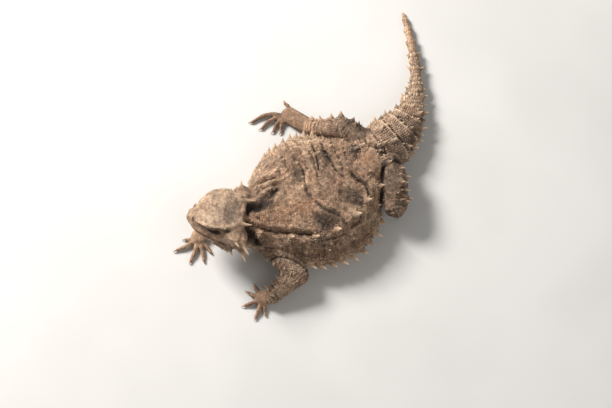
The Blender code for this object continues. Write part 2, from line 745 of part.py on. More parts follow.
def main():
    build_spine()
    build_head()
    build_limb("left_arm", ("left_upper_arm", "left_forearm", "left_hand"))
    build_limb("right_arm", ("right_upper_arm", "right_forearm", "right_hand"))
    build_limb("left_leg", ("left_thigh", "left_shank", "left_foot"))
    build_limb("right_leg", ("right_thigh", "right_shank", "right_foot"))


for old in list(bpy.data.objects):
    bpy.data.objects.remove(old)
ANIMAL = bpy.data.collections.new("horned_lizard")
bpy.context.scene.collection.children.link(ANIMAL)
MATERIALS = {name: new_material(name, colour) for name, colour in COLOURS.items()}
main()
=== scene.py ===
"""Horned lizard: one skin, its scales, spines, horns, eyes and claws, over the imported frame.

The model rests on the floor, z = 0, facing -X, its left side towards -Y.
Shapes are worked out in millimetres, from the same sizes as the solids, and become metres as meshes are made.
"""

import itertools
import math

import bpy
import numpy as np
from mathutils import Euler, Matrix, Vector
from mathutils.kdtree import KDTree


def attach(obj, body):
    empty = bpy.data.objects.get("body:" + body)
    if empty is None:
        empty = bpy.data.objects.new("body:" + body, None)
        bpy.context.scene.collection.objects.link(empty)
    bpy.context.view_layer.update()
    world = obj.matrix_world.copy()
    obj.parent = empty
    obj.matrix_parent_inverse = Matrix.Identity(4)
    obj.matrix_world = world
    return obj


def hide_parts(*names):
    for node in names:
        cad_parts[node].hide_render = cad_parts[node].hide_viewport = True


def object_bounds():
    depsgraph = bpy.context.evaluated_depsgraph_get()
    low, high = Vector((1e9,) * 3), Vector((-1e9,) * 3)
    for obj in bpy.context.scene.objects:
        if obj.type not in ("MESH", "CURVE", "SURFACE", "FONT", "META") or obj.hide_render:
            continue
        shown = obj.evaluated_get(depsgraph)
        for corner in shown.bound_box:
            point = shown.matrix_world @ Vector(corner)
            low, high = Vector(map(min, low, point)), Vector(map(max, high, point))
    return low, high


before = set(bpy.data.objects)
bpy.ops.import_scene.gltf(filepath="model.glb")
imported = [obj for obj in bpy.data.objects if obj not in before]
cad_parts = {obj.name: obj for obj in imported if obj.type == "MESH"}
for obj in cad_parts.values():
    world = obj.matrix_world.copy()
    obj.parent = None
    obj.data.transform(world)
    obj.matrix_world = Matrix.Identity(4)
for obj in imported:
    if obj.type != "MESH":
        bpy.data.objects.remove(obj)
CAD_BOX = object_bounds()

MM = 0.001
RNG = np.random.default_rng(11)
UP = np.array((0.0, 0.0, 1.0))
SIDES = ((1, "left"), (-1, "right"))

# The grain of the skin's remesh, how far the skin lies inside the solids, the room left over it for scales,
# and how far everything keeps off the floor and inside the solids' box.
VOXEL = 0.24
SKIN_DEPTH = 0.22
COAT_HEIGHT = 0.3
FLOOR_CLEARANCE = 0.02
BOX_CLEARANCE = 0.01

# The camera of the photograph: elevation, distance, focal length and what it looks at.
CAMERA_ELEVATION = 70
CAMERA_DISTANCE = 900
CAMERA_LENS, CAMERA_SENSOR = 137, 36
CAMERA_TARGET = (-2.31, 1.64, 0.0)

# Trunk, neck and tail, as in the solids. Each row: left edge x, y, right edge x, y,
# height of the edge, height above it, depth below it, and the ridge's lean to the left.
SPINE = np.array((
    (-30.2, -18.0, -30.8, -4.2, 15.4, 5.4, 5.6, 0.8),
    (-26.2, -19.2, -27.2, -2.0, 13.2, 7.2, 7.4, 1.4),
    (-21.2, -20.2, -23.2, 4.8, 11.0, 9.0, 8.6, 2.0),
    (-14.2, -22.0, -19.8, 12.2, 9.2, 10.5, 8.9, 2.6),
    (-6.4, -23.6, -15.2, 19.0, 7.9, 11.6, 8.2, 2.9),
    (2.0, -24.4, -8.8, 23.6, 7.1, 12.2, 7.4, 2.8),
    (9.8, -22.8, -2.4, 25.6, 6.8, 12.0, 7.1, 2.0),
    (17.2, -18.6, 4.8, 25.4, 6.6, 11.0, 6.9, 1.1),
    (22.8, -12.2, 11.2, 25.4, 6.4, 9.7, 6.7, 0.5),
    (26.2, -3.0, 16.0, 26.6, 6.2, 8.5, 6.5, 0.1),
    (29.8, 8.4, 20.2, 29.2, 5.9, 7.4, 6.2, 0.0),
    (34.6, 16.3, 25.4, 32.9, 5.4, 6.4, 5.0, 0.0),
    (38.7, 21.9, 29.8, 36.2, 4.9, 5.4, 4.5, 0.0),
    (41.3, 27.8, 33.1, 39.2, 4.5, 4.6, 4.4, 0.0),
    (42.8, 35.2, 35.8, 42.9, 4.1, 3.7, 4.2, 0.0),
    (43.4, 43.4, 37.7, 47.4, 3.6, 2.9, 3.8, 0.0),
    (43.2, 51.4, 38.7, 53.2, 3.0, 2.4, 3.2, 0.0),
    (42.5, 59.8, 38.6, 59.4, 2.5, 2.0, 2.7, 0.0),
    (41.1, 66.9, 37.8, 66.1, 2.1, 1.65, 2.3, 0.0),
    (39.7, 73.4, 37.0, 72.6, 1.65, 1.35, 1.8, 0.0),
    (38.2, 78.9, 36.1, 78.1, 1.25, 1.0, 1.4, 0.0),
    (37.1, 82.0, 35.6, 81.5, 0.95, 0.7, 1.1, 0.0),
))
NAPE, SHOULDERS, PELVIS, TAIL_TIP = 0.0, 1.75, 10.5, 21.0
ROUND_TOP, ROUND_BELLY = 2.1, 2.7

# The head in its own frame: x forward from the occiput, y left, z up.
HEAD_PLACE = (-26.3, -10.8, 18.6)
HEAD_TURN = np.array(Euler((math.radians(12), math.radians(6), math.radians(175))).to_matrix())
HEAD_STATIONS = (-0.6, 2.4, 6.2, 9.6, 12.6, 15.6, 18.2, 20.0)
HEAD_SHAPE = {
    "crown_height": (4.4, 5.8, 6.5, 6.5, 5.9, 4.9, 3.6, 2.2),
    "brow_out": (7.0, 7.9, 8.3, 8.3, 7.3, 5.2, 3.6, 2.2),
    "brow_height": (4.0, 5.3, 6.3, 6.3, 5.5, 4.2, 2.9, 1.7),
    "orbit_out": (10.6, 11.0, 9.0, 7.5, 7.0, 5.8, 4.4, 2.6),
    "orbit_height": (3.2, 3.6, 4.0, 4.0, 3.4, 2.5, 1.8, 1.0),
    "cheek_out": (12.2, 12.4, 10.8, 9.4, 8.2, 6.7, 5.0, 2.9),
    "cheek_height": (1.4, 1.3, 1.1, 1.0, 0.9, 0.7, 0.5, 0.2),
    "lip_out": (11.6, 12.2, 11.0, 9.9, 8.6, 7.1, 5.2, 2.9),
    "lip_height": (-1.3, -1.1, -0.9, -0.8, -0.7, -0.6, -0.5, -0.4),
    "jaw_out": (10.2, 11.2, 10.8, 9.9, 8.5, 6.7, 4.6, 2.3),
    "jaw_height": (-3.6, -3.6, -3.3, -3.0, -2.7, -2.3, -1.8, -1.3),
    "throat_out": (6.4, 6.9, 6.8, 6.2, 5.2, 4.0, 2.7, 1.2),
    "throat_height": (-5.6, -5.6, -5.2, -4.8, -4.3, -3.5, -2.6, -1.8),
    "chin_depth": (6.2, 6.1, 5.8, 5.3, 4.7, 3.8, 2.9, 2.0),
}
SNOUT_TIP, OCCIPUT_DEPTH, MOUTH_CORNER = 21.0, 0.9, 4.6
EYE_PLACE, EYE_RADIUS = (9.5, 5.8, 3.1), 2.2
LID_THICKNESS = 0.42
SLOT_PLACE, LID_SLOT = (EYE_PLACE[0] + 0.1, EYE_PLACE[1], EYE_PLACE[2] - 0.1), (1.75, 0.72)
NOSTRIL_PLACE, NOSTRIL_RADIUS = (17.8, 2.8, 2.4), 0.42
EAR_PLACE, EAR_RADIUS = (2.6, 12.15, -1.7), 0.9
TEMPLE_PLACE, TEMPLE_RADII = (0.9, 8.5, -0.1), (3.9, 4.7, 3.7)
BROW_RIDGE = ((17.0, 4.3, 3.3), (15.0, 5.7, 4.3), (12.6, 7.2, 5.4), (9.6, 8.15, 6.15),
              (6.2, 8.1, 6.2), (3.2, 7.2, 5.5), (0.8, 5.9, 4.6))
TEMPLE_RIM = ((5.0, 9.6, 3.9), (3.6, 10.6, 3.9), (2.2, 11.4, 3.2), (0.6, 11.9, 1.9), (-0.6, 12.0, 0.2))

# Horns of the left side: base, direction, length and base radius.
HORNS = {
    "occipital": ((0.2, 5.2, 3.9), (-0.98, 0.04, 0.0), 5.2, 1.4),
    "temporal_1": ((1.4, 11.4, 2.2), (-0.58, 0.80, 0.06), 3.9, 1.1),
    "temporal_2": ((-1.4, 11.6, 0.4), (-0.56, 0.80, -0.15), 5.4, 1.25),
    "temporal_3": ((-0.4, 11.8, -2.2), (-0.42, 0.84, -0.28), 6.2, 1.35),
}
HORN_RISE = 0.35
# The right temple's horns stand out squarely in the photograph: their backward lean is multiplied by this.
RIGHT_HORN_SWEEP = -0.25

# Limbs: joint centres, radii at the root, the middle and the far end, where the row of spines lies, in
# degrees round the limb, and its height as a share of its width.
LIMBS = {
    "left_arm": {
        "joints": ((-17.0, -17.0, 9.4), (-5.0, -29.5, 7.2), (-15.6, -36.9, 3.4)),
        "upper": (5.0, 4.7, 4.1), "lower": (4.1, 3.8, 3.3), "spine_row": 20, "flatness": 0.86,
    },
    "right_arm": {
        "joints": ((-20.0, 0.5, 7.4), (-34.6, -1.5, 5.2), (-42.0, -9.6, 3.0)),
        "upper": (3.9, 3.6, 3.3), "lower": (3.2, 2.9, 2.2), "spine_row": 25, "flatness": 0.86,
    },
    "left_leg": {
        "joints": ((29.5, 14.5, 9.4), (31.8, -2.6, 9.8), (35.2, 11.4, 3.3)),
        "upper": (5.2, 5.4, 4.6), "lower": (3.3, 3.2, 2.4), "spine_row": 158, "flatness": 0.78,
    },
    "right_leg": {
        "joints": ((23.0, 23.0, 7.4), (13.2, 29.8, 7.4), (-0.6, 32.0, 3.6)),
        "upper": (4.8, 4.8, 4.2), "lower": (4.0, 3.5, 3.3), "spine_row": 28, "flatness": 0.9,
    },
}
# Feet: limb, palm centre, palm radius, heading and length of each digit, sideways bow.
FEET = {
    "left_hand": ("left_arm", (-19.2, -37.0, 1.7), 3.1,
                  (116, 154, 203, 253, 283), (6.9, 6.7, 8.0, 8.8, 7.2), 0.5),
    "right_hand": ("right_arm", (-43.8, -13.0, 1.7), 3.2,
                   (313, 285, 253, 209, 183), (8.2, 9.9, 10.3, 10.4, 5.8), 0.5),
    "left_foot": ("left_leg", (33.2, 6.4, 1.8), 2.7,
                  (224, 244, 256, 270, 296), (5.4, 7.4, 9.6, 11.0, 7.2), -0.5),
    "right_foot": ("right_leg", (-8.9, 38.0, 1.8), 3.6,
                   (244, 226, 206, 190, 108), (8.5, 10.0, 13.0, 15.9, 6.9), -1.4),
}
DIGIT_RADIUS, DIGIT_FLATNESS = 0.86, 0.92
CLAW_LENGTH, CLAW_RADIUS = 1.7, 0.462
# The solids that the one skin is shown in place of.
LIMB_PARTS = (("upper_arm", "forearm", "hand"), ("thigh", "shank", "foot"))
FLESH_NODES = ["head", "neck", "trunk", "tail_base", "tail_middle", "tail_tip"] + [
    f"{side}_{part}" for parts in LIMB_PARTS for side in ("left", "right") for part in parts
]

# Folds of the trunk's skin: half width, height (a groove is negative), then (station, degrees) along each.
FOLDS = {
    "left_flank_groove": (1.25, -1.5, ((1.2, 82), (1.5, 77), (2.1, 65), (2.7, 60), (3.3, 58), (3.8, 56),
                                       (4.4, 55), (4.9, 53), (5.4, 50))),
    "left_flank_lip": (1.3, 0.75, ((1.2, 90), (1.6, 83), (2.1, 74), (2.7, 68), (3.3, 66), (3.8, 64),
                                   (4.4, 62), (4.9, 60), (5.5, 57))),
    "flank_line": (0.5, -0.55, ((4.6, 45), (5.1, 43.5), (5.7, 42.8), (6.2, 42), (6.7, 42))),
    "rear_left_arc": (0.65, -0.85, ((7.41, 63), (7.5, 56), (7.51, 50), (7.29, 45.7), (6.78, 45.7))),
    "rear_left_pillow": (2.2, 0.6, ((6.4, 58), (6.9, 57), (7.1, 60))),
    "nape_left_pit": (1.6, -1.9, ((1.5, 62), (1.6, 44), (1.7, 28), (2.2, 24))),
    "nape_lobe": (1.5, 0.9, ((2.25, 56), (2.35, 46))),
    "nape_right_pit": (1.7, -1.9, ((1.0, 112), (1.5, 108), (1.9, 104), (2.4, 98), (2.9, 98))),
    "nape_right_lip": (1.2, 0.6, ((1.6, 92), (2.1, 88), (2.5, 87), (3.0, 92), (3.4, 96), (3.9, 102),
                                  (4.2, 108))),
    "shoulder_hollow": (1.5, -0.9, ((2.7, 106), (3.3, 104), (3.8, 108))),
    "shoulder_ridge_1": (1.0, 0.85, ((2.4, 148), (2.8, 138), (3.3, 130), (3.75, 124), (4.1, 120))),
    "shoulder_groove_1": (0.8, -0.7, ((2.4, 140), (2.9, 131), (3.4, 124), (3.8, 120))),
    "shoulder_ridge_2": (0.95, 0.7, ((2.2, 134), (2.6, 128), (2.95, 123), (3.5, 118), (3.9, 115))),
    "shoulder_groove_2": (0.8, -0.7, ((2.3, 124), (2.9, 118), (3.4, 115), (3.8, 112))),
    "shoulder_ridge_3": (0.9, 0.5, ((2.7, 114), (3.3, 113), (3.8, 109))),
    "right_crease_1": (0.5, -0.8, ((6.16, 146), (6.18, 130), (6.17, 119), (6.08, 109))),
    "right_crease_2": (0.55, -0.9, ((6.71, 147), (6.76, 126), (6.91, 115), (7.03, 106), (7.25, 98))),
    "right_crease_3": (0.5, -0.7, ((5.13, 126), (5.28, 116), (5.22, 105), (5.2, 94))),
    "right_pillow_1": (1.1, 0.5, ((6.45, 144), (6.45, 128), (6.5, 114))),
    "right_pillow_2": (1.2, 0.45, ((5.6, 136), (5.65, 122), (5.6, 110))),
    "right_crease_4": (0.5, -0.6, ((7.9, 140), (7.8, 126), (7.8, 114))),
    "right_crease_5": (0.5, -0.5, ((4.4, 146), (4.45, 134), (4.5, 124))),
    "rump_crease": (0.6, -0.6, ((7.8, 99), (8.1, 88), (8.4, 74), (8.4, 60))),
    "hip_groove": (0.8, -0.9, ((9.4, 130), (9.8, 110), (10.0, 92), (10.1, 74))),
}
# Blotches: half width, then (station, degrees) along each.
BLOTCHES = {
    "left_front": (0.85, ((5.5, 85), (5.74, 79.4), (6.03, 73.7), (6.35, 69.3), (6.53, 62.5), (6.64, 54))),
    "left_rear": (0.9, ((7.7, 101), (7.93, 91), (8.33, 80), (8.48, 68), (8.37, 57))),
    "right_front": (0.95, ((5.22, 101), (5.2, 95), (5.32, 89))),
    "right_front_line": (0.4, ((5.13, 124), (5.28, 116), (5.22, 105))),
    "right_middle_line": (0.45, ((6.16, 143), (6.18, 130), (6.17, 119), (6.08, 110))),
    "right_middle": (0.75, ((6.76, 128), (6.91, 115), (7.03, 106), (7.25, 98))),
    "right_rear": (0.8, ((8.5, 139), (8.7, 129), (8.87, 115))),
    "hip": (0.9, ((10.05, 100), (10.1, 84), (10.3, 70))),
    "right_spots": (0.6, ((4.9, 136), (5.0, 128))),
}
# Painted shadow in the two deep pits of the nape behind the head: half width, then (station, degrees) along
# each.
NAPE_PIT_SHADOW = {
    "nape_right": (2.6, ((0.8, 114), (1.4, 109), (1.9, 104), (2.4, 98), (2.9, 97), (3.2, 96))),
    "nape_left": (2.5, ((0.9, 72), (1.3, 62), (1.6, 44), (1.7, 28), (2.2, 22))),
}
# Noise along the edges of all marks: size, seed and share.
BLOT_EDGE = ((2.4, 21, 0.4), (1.1, 22, 0.45), (0.6, 24, 0.2))
# Brown shade behind the blotches, and warm ground between them, laid out the same way.
SHADES = {
    "left_front": (3.3, ((5.4, 70), (5.8, 64), (6.3, 60))),
    "left_rear": (3.6, ((7.3, 84), (7.5, 75), (7.7, 66))),
    "rear_left_front": (2.0, ((6.9, 84), (7.3, 80))),
    "right_front": (2.4, ((4.8, 120), (5.0, 108))),
    "right_middle": (2.0, ((6.5, 136), (6.6, 118))),
    "right_rear": (1.8, ((8.3, 128), (8.4, 114))),
    "tail": (3.4, ((11.6, 60), (12.0, 50), (12.6, 45))),
    "shoulder": (1.8, ((2.7, 106), (3.3, 104), (3.8, 108))),
}
WARM = {
    "wedge": (4.0, ((1.3, 88), (2.2, 79), (3.0, 78), (4.0, 81), (5.0, 86))),
    "hip": (3.4, ((8.2, 110), (9.0, 104), (9.4, 96))),
    "pink_spot": (1.2, ((5.4, 109), (5.6, 103))),
}
# Gaps seen from above between a limb and the body, sunk into the skin and painted dark as shadow: half width,
# share of the deepest, and places along them.
LIMB_GAPS = {
    "left_leg": (0.8, 1.0, ((27.0, -4.0, 0), (26.9, 4.0, 0), (27.1, 10.5, 0), (28.8, 13.4, 0),
                            (33.0, 14.5, 0), (37.5, 13.4, 0))),
    "left_arm": (0.55, 0.65, ((-16.4, -24.8, 0), (-12.0, -24.0, 0), (-5.5, -25.6, 0), (-1.8, -28.6, 0))),
}
GAP_DEPTH = 1.1
# Length of one of the fine wrinkles over the nape, in stations, and of those at the limbs' joints.
NECK_WRINKLE, LIMB_WRINKLE = 0.15, 1.35
# Places on the limbs that are paler than the rest: centre and reach.
PALE_PLACES = {
    "right_shank": ((-2.8, 33.2, 5.0), 8.0),
    "left_knee": ((32.0, -4.5, 12.0), 4),
    "left_forearm": ((-9.5, -33.2, 7.5), 6),
}
# How dark, pale, warm and grey the areas of the body are, before blotches and noise. The dark at the start of
# each tail whorl is painted shadow below the raised edge of the whorl before it, the pale at a whorl's end is
# a painted highlight on that edge, and the dark in the gaps between limbs and body is painted shadow.
TINTS = {
    "dark": {"whorl_start_shadow": 0.8, "hind_limbs": 0.34, "right_foot": 0.38, "left_hand": 0.26, "limb_gap_depth_and_shadow": 0.85},
    "pale": {"crown": 0.26, "snout": 0.1, "temple": 0.6, "ridge": 0.8, "below": 0.5, "tail_end": 0.7,
             "fringe": 0.4, "feet": 0.2, "whorl_edge_highlight": 0.75, "right_shank": 0.95, "left_knee": 0.35,
             "left_forearm": 0.35, "right_hand": 0.5, "wedge": 0.2},
    "warm": {"feet": 0.36, "tail_end": 0.4, "snout": 0.1, "right_shank": 0.45},
    "grey": {"band": 0.85, "cheek": 1.0, "crown": 0.5, "snout": 0.2, "tail_top": 0.6, "other_limbs": 0.35},
}
# Large pale tubercles: station, degrees and size.
TUBERCLES = (
    (2.29, 54, 0.85), (3.99, 51, 1.0), (5.13, 51, 1.15), (6.21, 51.5, 1.15), (7.3, 56.7, 1.4),
    (8.2, 59.8, 1.15), (10.15, 57, 1.5), (9.27, 48.6, 1.25), (10.45, 89.6, 1.15), (10.82, 120.7, 0.95),
    (10.03, 86, 1.0), (8.47, 125, 1.15), (7.02, 138.5, 1.0), (5.97, 149, 0.85), (9.3, 120, 0.9),
    (4.4, 137, 0.7), (3.3, 112, 0.6),
    (9.0, 82, 0.8), (6.6, 84, 0.5), (4.9, 100, 0.45), (3.4, 6, 0.8),
)
# Rings of the tail: stations where one whorl ends, and how much each is slanted.
TAIL_RINGS = (9.3, 10.25, 11.4, 12.4, 13.3, 14.15, 14.95, 15.7, 16.7, 17.55, 18.4, 19.3, 20.2, 21.2)
RING_SLANT = ((10.25, 0.06), (11.4, 0.18), (14.1, 0.55), (15.1, 0.3), (16.7, 0.0))
TAIL_TUBERCLES = (
    (10.85, 123, 0.9), (11.07, 78, 1.1), (11.73, 37, 1.2), (12.52, 68.6, 1.2), (12.2, 124, 1.0),
    (13.0, 100, 0.8), (13.94, 52, 1.15), (13.5, 128, 0.8), (15.12, 89, 0.9), (14.6, 118, 0.7),
    (16.0, 60, 0.6),
)
# Large spines of the hind legs: part, share along it, degrees round it, length and radius.
LEG_SPIKES = {
    "right_leg": (
        ("upper", 0.3, 26, 2.4, 1.3), ("upper", 0.61, 28, 2.9, 1.6), ("upper", 0.92, 30, 1.6, 0.95),
        ("lower", 0.23, 26, 3.0, 1.65), ("lower", 0.52, 30, 2.4, 1.25), ("lower", 0.38, 58, 1.5, 1.0),
        ("lower", 0.93, 34, 1.6, 0.9), ("upper", 0.45, 58, 1.7, 1.05), ("upper", 0.78, 60, 1.7, 1.0),
        ("upper", 0.16, 56, 1.5, 0.9), ("lower", 0.7, 56, 1.3, 0.8),
    ),
    "left_leg": (
        ("upper", 0.1, 172, 2.3, 1.2), ("upper", 0.48, 172, 2.3, 1.2), ("upper", 0.87, 174, 2.2, 1.15),
        ("upper", 0.3, 140, 1.7, 1.0), ("upper", 0.62, 132, 1.8, 1.0), ("upper", 0.8, 106, 1.4, 0.85),
        ("upper", 0.98, 150, 1.7, 0.95), ("upper", 0.42, 100, 1.3, 0.85),
    ),
}


# Numbers

def unit(vectors):
    """Vectors of length 1."""
    return vectors / np.maximum(np.linalg.norm(vectors, axis=-1, keepdims=True), 1e-9)


def dot(a, b):
    """Products of vectors, pair by pair."""
    return np.einsum("...i,...i->...", a, b)


def step_between(low, high, values):
    """A smooth rise from 0 at low to 1 at high."""
    t = np.clip((values - low) / (high - low), 0, 1)
    return t * t * (3 - 2 * t)


def within(values, start, full, fade, end):
    """1 between full and fade, falling smoothly to 0 at start and at end."""
    return step_between(start, full, values) * (1 - step_between(fade, end, values))


def bell(distance, width):
    """1 at no distance, and about a third at the width."""
    return np.exp(-(distance / width) ** 2)


def power(values, exponent):
    """Values to a power, keeping their signs."""
    return np.sign(values) * np.abs(values) ** exponent


def curve_shares(t):
    """Shares of four rows in a row on a Catmull-Rom curve, as t goes from the second, 0, to the third, 1."""
    return (-0.5 * t + t ** 2 - 0.5 * t ** 3, 1 - 2.5 * t ** 2 + 1.5 * t ** 3,
            0.5 * t + 2 * t ** 2 - 1.5 * t ** 3, -0.5 * t ** 2 + 0.5 * t ** 3)


def along(rows, s):
    """Rows at station numbers s, on Catmull-Rom curves through the rows."""
    rows = np.asarray(rows, float)
    last = len(rows) - 1
    s = np.clip(np.asarray(s, float), 0, last)
    i = np.minimum(s.astype(int), last - 1)
    t = (s - i)[..., None]
    near = (rows[np.clip(i + k, 0, last)] for k in (-1, 0, 1, 2))
    return sum(share * row for share, row in zip(curve_shares(t), near))


def noise(points, size, seed=0):
    """Smooth noise from -1 to 1 whose features have that size."""
    q = points / size + seed * 19.37
    cell = np.floor(q).astype(np.int64)
    t = q - cell
    t = t * t * (3 - 2 * t)
    total = np.zeros(len(points))
    for corner in itertools.product((0, 1), repeat=3):
        x, y, z = (cell + corner).T
        h = (x * 73856093) ^ (y * 19349663) ^ (z * 83492791)
        h = (h ^ (h >> 13)) * 1274126177 & 0x7FFFFFFF
        value = (h ^ (h >> 16)) % 65536 / 32768.0 - 1
        total += value * np.prod(np.where(corner, t, 1 - t), axis=1)
    return total


def distance_to(points, line, samples=40):
    """Distance from each point to a line through places, and the share of the line before that place."""
    path = along(np.asarray(line, float), np.linspace(0, len(line) - 1, samples))
    best = np.full(len(points), 1e9)
    share = np.zeros(len(points))
    for i, place in enumerate(path):
        away = np.linalg.norm(points - place, axis=1)
        nearer = away < best
        best[nearer] = away[nearer]
        share[nearer] = i / (samples - 1)
    return best, share


# Forms that the solids have too

def spine_frame(s):
    """Centre, left, tailward direction, half width, height above, depth below and lean at stations s."""
    row = along(SPINE, s)
    left_edge, right_edge = row[..., (0, 1, 4)], row[..., (2, 3, 4)]
    across = left_edge - right_edge
    half_width = np.linalg.norm(across, axis=-1) / 2
    left = unit(across)
    tail = np.stack((-left[..., 1], left[..., 0], np.zeros_like(half_width)), -1)
    return (left_edge + right_edge) / 2, left, tail, half_width, row[..., 5], row[..., 6], row[..., 7]


def spine_point(s, angle, grow=0.0):
    """Points on the trunk or tail; angle 0 is the left fringe and a quarter turn the ridge of the back."""
    s, angle = np.broadcast_arrays(np.asarray(s, float), np.asarray(angle, float))
    centre, left, tail, half_width, above, below, lean = spine_frame(s)
    c, n = np.cos(angle), np.sin(angle)
    upper = n > 0
    roundness = np.where(upper, ROUND_TOP, ROUND_BELLY)
    up = (np.where(upper, above, below) + grow) * power(n, 2 / roundness)
    out = (half_width + grow) * power(c, 2 / roundness) + np.where(upper, lean * n * n, 0)
    return centre + left * out[..., None] + UP * up[..., None]


def spine_normal(s, angle):
    """The way out of the trunk or tail at that place."""
    step = 0.04
    across = spine_point(s, angle + step) - spine_point(s, angle - step)
    lengthwise = spine_point(s + step, angle) - spine_point(s - step, angle)
    return -unit(np.cross(across, lengthwise))


def spine_line(marks):
    """Places on the skin at (station, degrees) marks."""
    marks = np.asarray(marks, float)
    return spine_point(marks[:, 0], np.radians(marks[:, 1]), -SKIN_DEPTH)


def sweep(stations, points, flatness=1.0, grow=0.0, steps=12):
    """Rings of a round-ended limb through stations of (centre, radius); flatness narrows its height."""
    rows = np.array([(*centre, radius) for centre, radius in stations])
    last = len(rows) - 1
    turns = np.radians((84, 70, 52, 34, 17))
    s = np.concatenate((np.zeros(5), np.linspace(0, last, last * steps + 1), np.full(5, last)))
    onward = np.concatenate((-np.sin(turns), np.zeros(last * steps + 1), np.sin(turns[::-1])))
    width = np.concatenate((np.cos(turns), np.ones(last * steps + 1), np.cos(turns[::-1])))
    row = along(rows, s)
    forward = unit(along(rows, s + 0.1)[:, :3] - along(rows, s - 0.1)[:, :3])
    side = unit(np.cross(forward, UP))
    up = np.cross(side, forward)
    radius = row[:, 3] + grow
    centre = row[:, :3] + forward * (radius * onward)[:, None]
    a = np.linspace(0, 2 * np.pi, points, endpoint=False)[None, :, None]
    height = (flatness + grow * (1 - flatness) / radius)[:, None, None]
    reach = side[:, None] * np.cos(a) + up[:, None] * np.sin(a) * height
    return centre[:, None] + reach * (radius * width)[:, None, None]


def head_world(points):
    """Points of the head's frame, in the world."""
    return np.asarray(HEAD_PLACE) + np.asarray(points, float) @ HEAD_TURN.T


def head_local(points):
    """Points of the world, in the head's frame."""
    return (points - np.asarray(HEAD_PLACE)) @ HEAD_TURN


def head_value(name, x):
    """One named size of the head's section at distances x from the occiput."""
    s = np.interp(x, HEAD_STATIONS, range(len(HEAD_STATIONS)))
    return along(np.array(HEAD_SHAPE[name])[:, None], s)[..., 0]


def head_ring(x, shrink=1.0):
    """Sections of the head: crown, brow, orbit, cheek, lips, jaw and throat, then the same mirrored."""
    x = np.atleast_1d(np.asarray(x, float))
    h = {name: head_value(name, x) for name in HEAD_SHAPE}
    groove = np.where(x > MOUTH_CORNER, 0.45, 0.0)
    half = (
        (h["brow_out"] * 0.5, h["crown_height"] * 0.98),
        (h["brow_out"] * 0.86, h["brow_height"] + 0.12),
        (h["brow_out"], h["brow_height"] - 0.25),
        ((h["brow_out"] + h["orbit_out"]) / 2 - 0.25, (h["brow_height"] + h["orbit_height"]) / 2 - 0.2),
        (h["orbit_out"], h["orbit_height"] - 0.3),
        ((h["orbit_out"] + h["cheek_out"]) / 2, (h["orbit_height"] + h["cheek_height"]) / 2 - 0.2),
        (h["cheek_out"], h["cheek_height"]),
        (h["lip_out"], h["lip_height"] + 0.5),
        (h["lip_out"] - groove, h["lip_height"]),
        (h["lip_out"] - 0.12, h["lip_height"] - 0.5),
        (h["jaw_out"], h["jaw_height"]),
        (h["throat_out"], h["throat_height"]),
    )
    left = [(0 * x, h["crown_height"])] + list(half)
    right = [(-y, z) for y, z in reversed(half)]
    ring = np.array(left + [(0 * x, -h["chin_depth"])] + right).transpose(2, 0, 1)
    middle = ((h["crown_height"] - h["chin_depth"]) / 2)[:, None]
    y, z = ring[..., 0] * shrink, middle + (ring[..., 1] - middle) * shrink
    return np.stack((np.broadcast_to(x[:, None], y.shape), y, z), -1)


def head_surface(x, share, side):
    """A point on the head at distance x, where share runs from the crown, 0, to the chin, 1."""
    ring = head_ring(x)[0]
    half = len(ring) // 2
    return along(ring[: half + 1], share * half) * (1, side, 1)


def head_rings(grow):
    """Rings of the skull with its flesh, from the rounded occiput to the blunt snout."""
    rings = []
    first, last = HEAD_STATIONS[0], HEAD_STATIONS[-1]
    for turn in np.radians((80, 62, 45, 30, 15)):
        ring = head_ring(first, 1 - 0.3 * (1 - math.cos(turn)))[0]
        rings.append(ring - ((OCCIPUT_DEPTH + grow) * math.sin(turn), 0, 0))
    rings += list(head_ring(np.linspace(first, last, 64)))
    for turn in np.radians((14, 28, 42, 56, 70, 82)):
        ring = head_ring(last, math.cos(turn))[0]
        rings.append(ring + ((SNOUT_TIP - last) * math.sin(turn), 0, 0))
    rings = np.array(rings)
    reach = np.linalg.norm(rings[..., 1:], axis=-1, keepdims=True)
    rings[..., 1:] *= 1 + grow / np.maximum(reach, 0.5)
    return head_world(refine_round(rings, 4))


def refine_round(rings, times):
    """More points round each closed ring, on curves through the points there are."""
    near = [np.roll(rings, k, axis=1) for k in (1, 0, -1, -2)]
    parts = [sum(share * ring for share, ring in zip(curve_shares(t), near))
             for t in np.arange(times) / times]
    return np.stack(parts, 2).reshape(len(rings), -1, 3)


def ball_rings(place, radii, count=28):
    """Rings of an ellipsoid."""
    a = np.linspace(0, 2 * np.pi, 40, endpoint=False)
    rings = []
    for t in np.linspace(-np.pi / 2 + 0.06, np.pi / 2 - 0.06, count):
        circle = np.stack((np.cos(t) * np.cos(a), np.cos(t) * np.sin(a), np.full_like(a, np.sin(t))), -1)
        rings.append(np.asarray(place) + circle * radii)
    return np.array(rings)


def limb_stations(limb, part):
    """Centres and radii of the upper or the lower part of a limb."""
    root, bend, end = (np.array(j) for j in limb["joints"])
    a, b = (root, bend) if part == "upper" else (bend, end)
    thick = limb[part]
    return [(a, thick[0]), (a + (b - a) * 0.4 + (0, 0, 0.3), thick[1]), (b, thick[2])]


